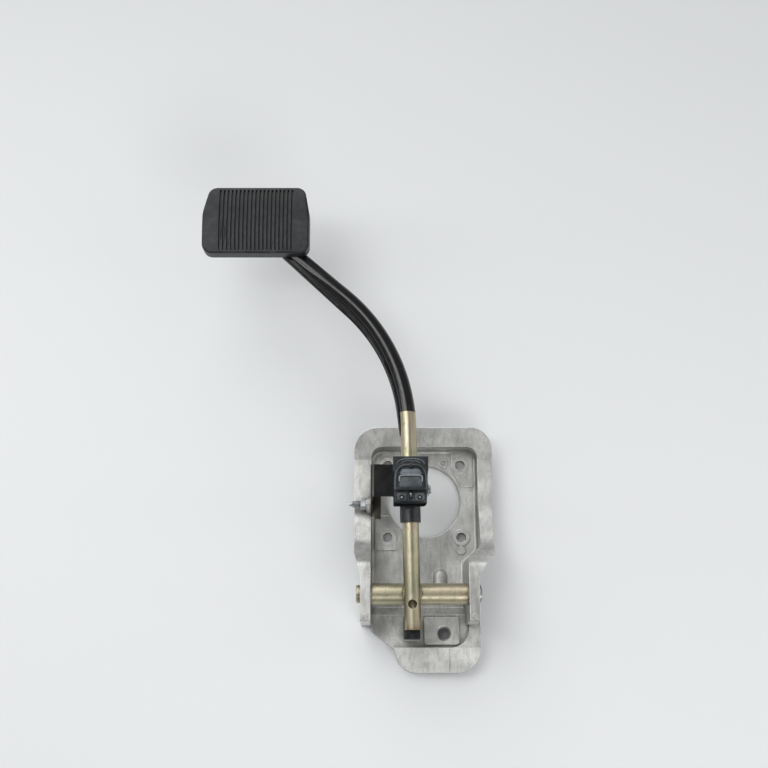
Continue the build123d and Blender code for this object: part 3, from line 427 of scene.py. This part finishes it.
# Plated and drawn metals are clear and bright, and differ in tint.
bright_zinc = plain_finish("bright_zinc_plate", "#c4c7c9", "#85888a", (0.26, 0.42), grain_mm=0.7, metallic=1.0)
brass = plain_finish("stamped_brass", "#c9a45c", "#8f7038", (0.25, 0.40), grain_mm=0.5, metallic=1.0)
spring_wire = plain_finish("drawn_spring_steel", "#a5a6a6", "#6c6d6d", (0.25, 0.38), grain_mm=0.4, metallic=1.0)
# Olive chromate and black oxide dull the metal under them.
olive_zinc = plain_finish("olive_chromate_steel", "#4b473a", "#2c2a22", (0.34, 0.50), grain_mm=0.7, metallic=0.7)
screw_black = plain_finish("black_oxide_steel", "#3a3d40", "#1d1f21", (0.26, 0.42), grain_mm=0.7, metallic=0.9)
# Nylon with no dye is a waxy cream.
nylon = plain_finish("natural_nylon", "#d9d2bf", "#b5ac95", (0.38, 0.50), grain_mm=0.8)
print("made: small metals and nylon, such as", bright_zinc.name)

# %% [markdown]
# ## Every node gets its finish
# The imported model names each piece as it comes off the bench. A table from finish to pieces is easy to
# check against the real object, and the count at the end shows that none was forgotten.

# %% Give every node its finish
finishes = {
    casting_finish: ("bracket_casting",),
    zinc_finish: ("pivot_shaft", "pivot_tube", "pivot_welds"),
    arm_finish: ("arm_tube",),
    paint_finish: ("arm_gusset", "pad_plate", "pad_welds"),
    rubber_finish: ("pedal_pad", "return_stop"),
    plastic_finish: ("switch_housing", "switch_cover", "striker_sleeve"),
    sheet_finish: ("switch_bracket",),
    bright_zinc: ("shaft_retainer", "bracket_bolt", "bracket_nut", "bracket_washer", "pushrod_pin"),
    screw_black: ("switch_screws",),
    olive_zinc: ("loom_strap",),
    nylon: ("pivot_bush_left", "pivot_bush_right", "switch_plunger"),
    brass: ("switch_terminals",),
    spring_wire: ("plunger_spring",),
}
for finish, names in finishes.items():
    for name in names:
        nodes[name].data.materials.clear()
        nodes[name].data.materials.append(finish)
print("finished:", sum(len(names) for names in finishes.values()), "of", len(nodes), "nodes")

# %% [markdown]
# ## From a grid of points to a piece
# The small forms that follow are all skins round something: a bead of weld round a joint, a thread round a
# stud, a raised face round its own middle. Each is a grid of points with rings as its rows. One function
# works out the rings along a path, another works out the rings of a low plate, and a third turns any such
# grid into a closed mesh, hands it to the body that it moves with and names the material slot that it
# belongs to.


# %% Grid helpers
sharp_from = math.radians(50.0)


def ring_skin(path, facing, half_wide, half_high, power=2.0, sides=24, closed=False):
    """Rings round a path: |a / half_wide| ** power + |b / half_high| ** power = 1, b towards facing, a across."""
    ahead = np.roll(path, -1, axis=0) - np.roll(path, 1, axis=0) if closed else np.gradient(path, axis=0)
    ahead = ahead / np.linalg.norm(ahead, axis=1, keepdims=True)
    facing = np.broadcast_to(np.asarray(facing, float), path.shape)
    up = facing - ahead * np.sum(facing * ahead, axis=1, keepdims=True)
    up = up / np.linalg.norm(up, axis=1, keepdims=True)
    across = np.cross(up, ahead)
    turn = np.linspace(0.0, 2.0 * np.pi, sides, endpoint=False)
    bow = 2.0 / np.broadcast_to(power, len(path))[:, None]
    a = np.broadcast_to(half_wide, len(path))[:, None] * np.sign(np.cos(turn)) * np.abs(np.cos(turn)) ** bow
    b = np.broadcast_to(half_high, len(path))[:, None] * np.sign(np.sin(turn)) * np.abs(np.sin(turn)) ** bow
    return path[:, None, :] + a[..., None] * across[:, None, :] + b[..., None] * up[:, None, :]


def plate_skin(centre, half_size, height, round_r, power=6.0, sides=64, steps=6):
    """Rings of a low plate: a superellipse outline, a straight side, then a quarter round of radius round_r."""
    lift = np.linspace(0.0, np.pi / 2.0, steps)
    inset = np.concatenate([[0.0], round_r * (1.0 - np.cos(lift))])[:, None]
    level = np.concatenate([[0.0], height - round_r + round_r * np.sin(lift)])[:, None]
    turn = np.linspace(0.0, 2.0 * np.pi, sides, endpoint=False)
    x = (half_size[0] - inset) * np.sign(np.cos(turn)) * np.abs(np.cos(turn)) ** (2.0 / power)
    y = (half_size[1] - inset) * np.sign(np.sin(turn)) * np.abs(np.sin(turn)) ** (2.0 / power)
    return np.stack([x, y, np.broadcast_to(level, x.shape)], axis=-1) + np.asarray(centre, float)


def make_piece(name, grid, body, finish, closed=False):
    """A mesh from rings of points in mm: each point joins its neighbours, and open ends get one face each."""
    rows, columns = grid.shape[:2]
    index = np.arange(rows * columns).reshape(rows, columns)
    after = np.roll(index, -1, axis=1)
    above, above_after = np.roll(index, -1, axis=0), np.roll(after, -1, axis=0)
    quads = np.stack([index, after, above_after, above], axis=-1)
    faces = quads.reshape(-1, 4).tolist() if closed else quads[:-1].reshape(-1, 4).tolist()
    faces += [] if closed else [index[0, ::-1].tolist(), index[-1].tolist()]
    mesh = bpy.data.meshes.new(name)
    mesh.from_pydata((grid.reshape(-1, 3) * MM).tolist(), [], faces)
    mesh.shade_smooth()
    mesh.set_sharp_from_angle(angle=sharp_from)
    mesh.materials.append(finish)
    piece = bpy.data.objects.new(name, mesh)
    bpy.context.scene.collection.objects.link(piece)
    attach(piece, body)
    print(name, "faces:", len(faces))
    return piece


# %% [markdown]
# ## The arm's own line
# A bent tube follows two straight runs and an arc between them. The arm's axis and both edges of the strip
# beside it are lines of that kind, so one function works out such a line as a function of the distance
# along it, in the arm's own flat plane, and another stands the flat points up in the model.

# %% Arm axis
arm_origin = np.array([-14.4, -97.7, 72.0])
arm_lean = math.radians(3.5)
arm_x_dir = np.array([1.0, 0.0, 0.0])
arm_y_dir = np.array([0.0, math.cos(arm_lean), math.sin(arm_lean)])
arm_z_dir = np.cross(arm_x_dir, arm_y_dir)
arm_start, arm_corner, arm_end = np.array([0.0, 0.0]), np.array([-4.2, 236.5]), np.array([-147.2, 357.5])
arm_bend_r = 178.0
arm_r = 7.8


def unit(vector):
    """The vector divided by its length."""
    return vector / np.linalg.norm(vector)


def bent_line(corners, radius):
    """Length and points of a line that runs straight, turns left on an arc of the radius, and runs straight."""
    start, corner, end = corners
    first_dir, last_dir = unit(corner - start), unit(end - corner)
    first_side = np.array([-first_dir[1], first_dir[0]])
    turn = math.acos(float(first_dir @ last_dir))
    first_run = np.linalg.norm(corner - start) - radius * math.tan(turn / 2.0)
    last_run = np.linalg.norm(end - corner) - radius * math.tan(turn / 2.0)
    length = first_run + radius * turn + last_run

    def at(distance):
        turned = (np.clip(distance - first_run, 0.0, radius * turn) / radius)[:, None]
        straight = np.minimum(distance, first_run)[:, None] * first_dir
        arc = radius * (np.sin(turned) * first_dir + (1.0 - np.cos(turned)) * first_side)
        rest = np.maximum(distance - first_run - radius * turn, 0.0)[:, None] * last_dir
        return start + straight + arc + rest

    return length, at


def stand_up(flat):
    """Points of the arm's plane in the model: along X, and along Y leaning towards the driver."""
    return arm_origin + flat[:, :1] * arm_x_dir + flat[:, 1:] * arm_y_dir


def ease(share):
    """Smooth step from 0 to 1: three squares less two cubes."""
    share = np.clip(share, 0.0, 1.0)
    return share * share * (3.0 - 2.0 * share)


arm_length, arm_at = bent_line((arm_start, arm_corner, arm_end), arm_bend_r)
print("arm axis:", round(float(arm_length), 1), "mm")

# %% [markdown]
# ## The flattened end of the arm
# Just before the foot pad the round tube was pressed a little flat on top, so that the pad's plate could
# sit on it. The skin is the tube's own circle at first and becomes squarer towards the pad, eased in and
# out so that the highlight bends smoothly.

# %% Flattened end
flat_from, flat_full, flat_to = 92.0, 54.0, 41.0
round_power, flat_power = 2.0, 2.9
skin_over_tube, press_depth = 0.06, 0.5

from_end = np.linspace(flat_from, flat_to, num=80)
pressed = ease((flat_from - from_end) / (flat_from - flat_full))
flattened = ring_skin(stand_up(arm_at(arm_length - from_end)), arm_z_dir,
                      half_wide=arm_r + skin_over_tube * (1.0 + pressed),
                      half_high=arm_r + skin_over_tube - press_depth * pressed,
                      power=round_power + (flat_power - round_power) * pressed, sides=72)
make_piece("flattened_arm_end", flattened, "pedal", arm_finish)

# %% [markdown]
# ## The strip inside the bend
# A flat steel strip stiffens the arm inside its bend. It stands a little apart from the tube at its foot,
# where a dark slit shows, and climbs up the tube's side towards the pad. Both of its edges are bent lines
# like the arm's axis, each at a set distance from it at the foot, at the bend and at the end.

# %% Edges of the strip
foot_lead, end_short = 7.8, 6.0
inner_off, outer_off = (5.6, 5.6, 3.0), (8.6, 17.2, 8.8)
low_dir, high_dir = unit(arm_corner - arm_start), unit(arm_end - arm_corner)
low_side, high_side = np.array([-low_dir[1], low_dir[0]]), np.array([-high_dir[1], high_dir[0]])
half_turn = math.acos(float(low_dir @ high_dir)) / 2.0
foot_at = np.linalg.norm(arm_corner) - arm_bend_r * math.tan(half_turn) - foot_lead


def beside_arm(at_foot, at_bend, at_end):
    """Foot, corner and end of a line inside the bend, at the given distances from the arm's axis."""
    mitre = (low_side + high_side) / (1.0 + low_side @ high_side)
    return (low_dir * foot_at + low_side * at_foot, arm_corner + mitre * at_bend,
            arm_end - high_dir * end_short + high_side * at_end)


share = np.linspace(0.0, 1.0, num=180)
inner_length, inner_at = bent_line(beside_arm(*inner_off), arm_bend_r - inner_off[1])
outer_length, outer_at = bent_line(beside_arm(*outer_off), arm_bend_r - outer_off[1])
inner, outer = stand_up(inner_at(share * inner_length)), stand_up(outer_at(share * outer_length))
wide = np.linalg.norm(outer - inner, axis=1)[:, None]
sideways = (outer - inner) / wide
print("strip:", round(float(inner_length), 1), "mm long, up to", round(float(wide.max()), 1), "mm wide")

# %% [markdown]
# ## The strip's profile
# At each share of the way along its edges the strip's profile has a flat top, a rounded outer edge, a flat
# underside and, near the foot, a sunk inner margin, which is the dark slit. All the profiles are worked out
# at once: one row for each share, one column for each point of the profile, as a distance out from the
# inner edge and a height.

# %% Strip
strip_under, strip_top, strip_fall = -2.0, 2.2, 0.9
strip_climb, climb_from, climb_over = 4.7, 0.45, 0.5
slit_depth, slit_to, slit_ease, slit_share, slit_wall = 3.2, 0.24, 0.06, 0.72, 0.15
most_rounded = 0.25

top = (strip_top + strip_climb * ease((share - climb_from) / climb_over))[:, None]
sunk = (slit_depth * (1.0 - ease((share - slit_to) / slit_ease)))[:, None]
half_edge = (top - strip_fall - strip_under) / 2.0
edge_turn = np.linspace(-np.pi / 2.0, np.pi / 2.0, num=13)
edge_wide = np.minimum(half_edge, most_rounded * wide)
out = np.concatenate([wide - edge_wide * (1.0 - np.cos(edge_turn)), slit_share * wide,
                      slit_share * wide - slit_wall, 0.0 * wide, 0.0 * wide], axis=1)
rise = np.concatenate([strip_under + half_edge * (1.0 + np.sin(edge_turn)), top, top - sunk, top - sunk,
                       strip_under + 0.0 * wide], axis=1)
strip_skin = inner[:, None, :] + out[..., None] * sideways[:, None, :] + rise[..., None] * arm_z_dir
strip = make_piece("arm_strip", strip_skin, "pedal", paint_finish)
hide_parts("arm_gusset")

# %% [markdown]
# ## Weld bead between the arm and the cross tube
# Two round tubes that cross meet along a saddle-shaped line, and one bead of weld was laid round it. Its path
# is an ellipse seen from the front that dips where the cross tube falls away, half-way between the two
# tubes' surfaces. The bead's radius swells and shrinks every 1.6 mm, which is the ripple that each step of
# the torch leaves.

# %% Saddle weld
pivot_y, pivot_z, pivot_tube_r, arm_over_pivot = -97.7, 56.0, 10.0, 16.0
saddle_x, saddle_y = 7.2, 8.6
bead_r, bead_tilt, ripple_pitch, ripple_share = 2.4, 0.3, 1.6, 0.10

round_joint = np.linspace(0.0, 2.0 * np.pi, num=320, endpoint=False)
along_x, along_y = saddle_x * np.cos(round_joint), saddle_y * np.sin(round_joint)
arm_under = pivot_z + arm_over_pivot - np.sqrt(arm_r ** 2 - along_x ** 2)
tube_top = pivot_z + np.sqrt(pivot_tube_r ** 2 - along_y ** 2)
saddle = np.stack([arm_origin[0] + along_x, pivot_y + along_y, (arm_under + tube_top) / 2.0], axis=-1)
ripples = round(np.pi * (saddle_x + saddle_y) / ripple_pitch)
ripple_r = bead_r * (1.0 + ripple_share * np.sin(ripples * round_joint))
outward = np.stack([np.cos(round_joint), np.sin(round_joint), bead_tilt + 0.0 * round_joint], axis=-1)
saddle_weld = make_piece("saddle_weld", ring_skin(saddle, outward, ripple_r, ripple_r, closed=True), "pedal",
                         zinc_finish, closed=True)
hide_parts("pivot_welds")

# %% [markdown]
# ## Thread on the bracket's stud
# The stud that comes out through the nut is threaded. A real thread is a ridge that climbs one pitch each
# turn, so the path is a helix round the stud and the profile a small ridge. The pitch of 1 mm is that of an
# M6 stud.

# %% Stud thread
bolt_y, bolt_z, bolt_r = -8.0, 33.5, 3.0
thread_from_x, thread_to_x, thread_pitch = -64.3, -71.6, 1.0
ridge_half_wide, ridge_h, ridge_power = 0.36, 0.32, 1.6

turns = abs(thread_to_x - thread_from_x) / thread_pitch
twist = np.linspace(0.0, 2.0 * np.pi * turns, num=260)
round_stud = np.stack([0.0 * twist, np.cos(twist), np.sin(twist)], axis=-1)
helix = np.array([0.0, bolt_y, bolt_z]) + bolt_r * round_stud
helix[:, 0] = np.linspace(thread_from_x, thread_to_x, len(twist))
thread = ring_skin(helix, round_stud, ridge_half_wide * thread_pitch, ridge_h, ridge_power, sides=10)
make_piece("stud_thread", thread, "bracket", spring_wire)

# %% [markdown]
# ## Clip on the push rod pin
# A spring clip snaps into the groove near the end of the pin and keeps the push rod on it. It is a flat
# ring with a gap, stamped from sheet, so the profile is nearly a rectangle and the path most of a circle
# round the pin.

# %% Pin clip
pin_y, pin_z = -1.68, 77.87
groove_x, clip_r, clip_half_wide, clip_half_thick = 1.5, 4.7, 1.4, 0.42
clip_open = math.radians(50.0)

round_pin = np.linspace(clip_open / 2.0, 2.0 * np.pi - clip_open / 2.0, num=96)
clip = np.stack([groove_x + 0.0 * round_pin, pin_y - clip_r * np.sin(round_pin),
                 pin_z - clip_r * np.cos(round_pin)], axis=-1)
make_piece("pin_clip", ring_skin(clip, (1.0, 0.0, 0.0), clip_half_wide, clip_half_thick, power=6.0), "pedal",
           bright_zinc)

# %% [markdown]
# ## Lip and bead on the switch
# The switch's front is a busy little moulding. A lip, painted nearly white as a painted highlight, runs
# across its latch and down both sides, and a rounded bead frames the arch round it, in grey nylon paler than
# the black housing, which paints its glints. Both could be curves with a bevel. Here they are profiles
# carried along an arch, which is the upper half of a superellipse, so that they share one function with the
# ribs further up.

# %% Lip and bead
switch_x, front_z, cover_z, rim_z = -16.0, 112.0, 115.2, 117.0
lip_y = 4.6
toward_driver = (0.0, 0.0, 1.0)


def arch_line(half_wide, foot_y, top_y, level, power, points=90):
    """Points of an arch: the upper half of a superellipse, half_wide by the rise from foot_y to top_y."""
    turn = np.linspace(0.0, np.pi, points)
    x = switch_x + half_wide * np.sign(np.cos(turn)) * np.abs(np.cos(turn)) ** (2.0 / power)
    y = foot_y + (top_y - foot_y) * np.abs(np.sin(turn)) ** (2.0 / power)
    return np.stack([x, y, np.full(points, level)], axis=-1)


lip_line = arch_line(half_wide=10.6, foot_y=-1.2, top_y=lip_y, level=cover_z + 0.8, power=7.0)
make_piece("latch_lip", ring_skin(lip_line, toward_driver, half_wide=0.7, half_high=0.9, power=2.6), "bracket",
           # Nearly white: a painted highlight along the lip.
           lip_highlight_finish)
bead_line = arch_line(half_wide=14.6, foot_y=-8.6, top_y=14.4, level=rim_z - 0.8, power=3.4)
# Grey nylon, paler than the black housing round it: a painted highlight of the bead's glints.
make_piece("arch_bead", ring_skin(bead_line, toward_driver, half_wide=0.8, half_high=1.1, power=2.2), "bracket",
           cover_finish)

# %% [markdown]
# ## The latch
# Under the lip lies the latch's flat face, above it a face that slopes away and narrows, in a paler grey
# that paints the light falling on the slope, and at the top of the arch a small window, a plate painted near
# black as the shade inside it. All three are low plates with rounded rims. The sloping one is bent after it
# is made: its points come closer to the middle and sink, the further up they are.

# %% Latch
seat = 0.1
make_piece("latch_face", plate_skin((switch_x, -2.3, cover_z - seat), (10.6, 6.0), height=0.6, round_r=0.4),
           "bracket", cover_finish)

slope_low, slope_fall, slope_taper = lip_y + 0.4, 0.22, 0.035
slope = plate_skin((switch_x, lip_y + 3.4, cover_z - 2.0 * seat), (10.4, 3.0), height=1.7, round_r=0.5)
up_slope = np.maximum(slope[..., 1] - slope_low, 0.0)
slope[..., 0] = switch_x + (slope[..., 0] - switch_x) * (1.0 - slope_taper * up_slope)
slope[..., 2] -= slope_fall * up_slope * (slope[..., 2] > cover_z)
# Paler than the flat face below it: painted light on the slope.
make_piece("latch_slope", slope, "bracket", latch_lit_finish)

window = plate_skin((switch_x, 13.2, rim_z - 0.3), (2.0, 1.5), height=0.75, round_r=0.3, power=3.0)
# Near black: painted shade of the window's opening.
make_piece("latch_window", window, "bracket", window_shade_finish)

# %% [markdown]
# ## Feet, post and collar of the switch
# Below the latch two square feet hold the screws, with a post between them. Above the arch the collar has
# two curved ribs and a small key. They are the same two kinds of form again, a low plate and a bead along
# an arch.

# %% Feet, post and collar
screw_side = 8.3
for side, foot_x in (("left", switch_x - screw_side), ("right", switch_x + screw_side)):
    foot = plate_skin((foot_x, -14.4, front_z - seat), (4.4, 3.8), height=0.9, round_r=0.5, power=4.0)
    make_piece("switch_foot_" + side, foot, "bracket", cover_finish)
post = plate_skin((switch_x, -12.6, front_z - 2.5), (1.4, 2.4), height=3.6, round_r=1.2, power=2.6)
make_piece("centre_post", post, "bracket", cover_finish)

collar_y, collar_z = 15.2, 114.0
for name, half_wide, top_y in (("collar_rib_outer", 12.6, 20.6), ("collar_rib_inner", 8.6, 18.4)):
    rib_line = arch_line(half_wide, collar_y, top_y, collar_z, power=2.4)
    # Paler grey nylon: a painted highlight of the ribs' glints.
    make_piece(name, ring_skin(rib_line, toward_driver, half_wide=0.55, half_high=0.6, power=2.2), "bracket",
               latch_lit_finish)
key = plate_skin((switch_x + 2.0, 17.6, collar_z - seat), (1.6, 1.1), height=1.0, round_r=0.4, power=4.0)
make_piece("collar_key", key, "bracket", cover_finish)

# %% [markdown]
# ## Bright rivets
# Three small bright rivet heads catch the light on the feet and the post. Each is a round plate whose rim
# is rounded over nearly its whole height, so that one clear highlight sits on it.

# %% Rivets
rivet_r, rivet_h, rivet_round = 0.95, 0.6, 0.5
rivet_y, rivet_z = -15.4, front_z + 1.2 - seat
rivets = {
    "rivet_left": (switch_x - screw_side, rivet_y, rivet_z),
    "rivet_right": (switch_x + screw_side, rivet_y, rivet_z),
    "rivet_post": (switch_x, -12.0, front_z + 1.0),
}
for name, place in rivets.items():
    make_piece(name, plate_skin(place, (rivet_r, rivet_r), rivet_h, rivet_round, power=2.0, sides=24), "bracket",
               bright_zinc)

# %% [markdown]
# ## Rails on the striker sleeve
# The plastic sleeve on the arm has a raised rail down each side that stiffens it. Each is a round bead,
# mostly sunk in the sleeve, that runs straight along the arm, so its path is a piece of the arm's own axis,
# moved sideways.

# %% Sleeve rails
rail_from, rail_to = 65.6, 89.0
rail_side, rail_up, rail_r = 8.1, 5.0, 0.9

rail_axis = stand_up(arm_at(np.linspace(rail_from, rail_to, num=24)))
for side, direction in (("left", -1.0), ("right", 1.0)):
    rail = rail_axis + direction * rail_side * arm_x_dir + rail_up * arm_z_dir
    make_piece("sleeve_rail_" + side, ring_skin(rail, arm_z_dir, rail_r, rail_r, sides=16), "pedal",
               plastic_finish)

# %% [markdown]
# ## Parting lines on the casting
# Where two parts of the die met, a thin line of metal squeezed out and was only partly filed off. Such a
# line is a low bead that lies on the casting's skin, here on the sloping band above the tray and on the
# sloping lower rim.

# %% Parting lines
band_y, band_z, band_slope = 39.0, 24.0, 8.0 / 31.7
foot_rim_y, foot_rim_z, foot_rim_slope = -145.4, 19.0, 6.0 / 23.6
line_points, line_half_wide, line_half_high = 24, 0.55, 0.28
parting_lines = {
    "parting_line_left": (-42.5, 54.5, 70.2, band_y, band_z, band_slope),
    "parting_line_right": (42.5, 54.5, 70.2, band_y, band_z, band_slope),
    "parting_line_foot": (23.0, -146.6, -168.4, foot_rim_y, foot_rim_z, foot_rim_slope),
}
for name, (x, from_y, to_y, start_y, start_z, rise) in parting_lines.items():
    y = np.linspace(from_y, to_y, line_points)
    line = np.stack([np.full(line_points, x), y, start_z + rise * (y - start_y)], axis=-1)
    make_piece(name, ring_skin(line, toward_driver, line_half_wide, line_half_high, sides=12), "bracket",
               casting_finish)

# %% [markdown]
# ## Floor
# The unit lies on its mounting face on a plain pale floor, which is a single large face just below it. A
# matt shader takes the shadow and throws a little light back up.

# %% Floor
floor_half = 4.0
floor_drop = 0.2 * MM
corners = np.array([[-1, -1], [1, -1], [1, 1], [-1, 1]]) * floor_half
floor_mesh = bpy.data.meshes.new("floor")
floor_mesh.from_pydata([(x, y, -floor_drop) for x, y in corners], [], [(0, 1, 2, 3)])
floor = bpy.data.objects.new("floor", floor_mesh)
bpy.context.scene.collection.objects.link(floor)
floor_material, _, floor_shader = start_material("pale_studio_floor", roughness=0.9)
floor_shader.inputs["Base Color"].default_value = colour("#e9ebec")
floor_mesh.materials.append(floor_material)
print("floor:", 2.0 * floor_half, "m wide")

# %% [markdown]
# ## Studio light
# A large soft lamp hangs on the left and another beyond the foot of the bracket, both out of the direction
# in which flat faces would mirror them to the camera. A narrow strip on each side draws a long crisp
# highlight on the tubes, a pale world fills the shadows, and a weak, very soft sun lights the floor more
# evenly away from the lamps. All are low enough that the pale floor stays short of white.

# %% Lamps
aim_at = np.array((0.0, 0.05, 0.05))
lamps = {  # place in metres, size in metres, power in watts
    "key": ((-0.62, 0.35, 1.45), (0.8, 0.8), 4.6),
    "left_strip": ((-0.80, 0.15, 0.95), (0.22, 1.4), 2.6),
    "right_strip": ((1.00, 0.05, 0.60), (0.12, 1.2), 1.2),
    "foot": ((0.45, -1.05, 1.10), (0.9, 0.6), 6.0),
}
for name, (place, size, power) in lamps.items():
    lamp = bpy.data.lights.new(name, "AREA")
    lamp.shape = "RECTANGLE"
    lamp.size, lamp.size_y = size
    lamp.energy = power
    holder = bpy.data.objects.new(name, lamp)
    holder.location = place
    aim = aim_at - np.array(place)
    holder.rotation_euler = (math.atan2(math.hypot(aim[0], aim[1]), -aim[2]), 0.0, math.atan2(-aim[0], aim[1]))
    bpy.context.scene.collection.objects.link(holder)
print("lamps:", ", ".join(lamps))

# %% Soft sun and world
ceiling = bpy.data.lights.new("ceiling", "SUN")
ceiling.energy = 1.05
ceiling.angle = math.radians(50.0)
ceiling_holder = bpy.data.objects.new("ceiling", ceiling)
ceiling_holder.rotation_euler = (math.radians(-48.0), math.radians(-24.0), 0.0)
bpy.context.scene.collection.objects.link(ceiling_holder)

world = bpy.data.worlds.new("pale_studio")
world.use_nodes = True
bpy.context.scene.world = world
sky = world.node_tree.nodes["Background"]
sky.inputs["Color"].default_value = colour("#f2f3f4")
sky.inputs["Strength"].default_value = 0.36
bpy.context.scene.view_settings.view_transform = "Standard"
print("world strength:", round(sky.inputs["Strength"].default_value, 2))
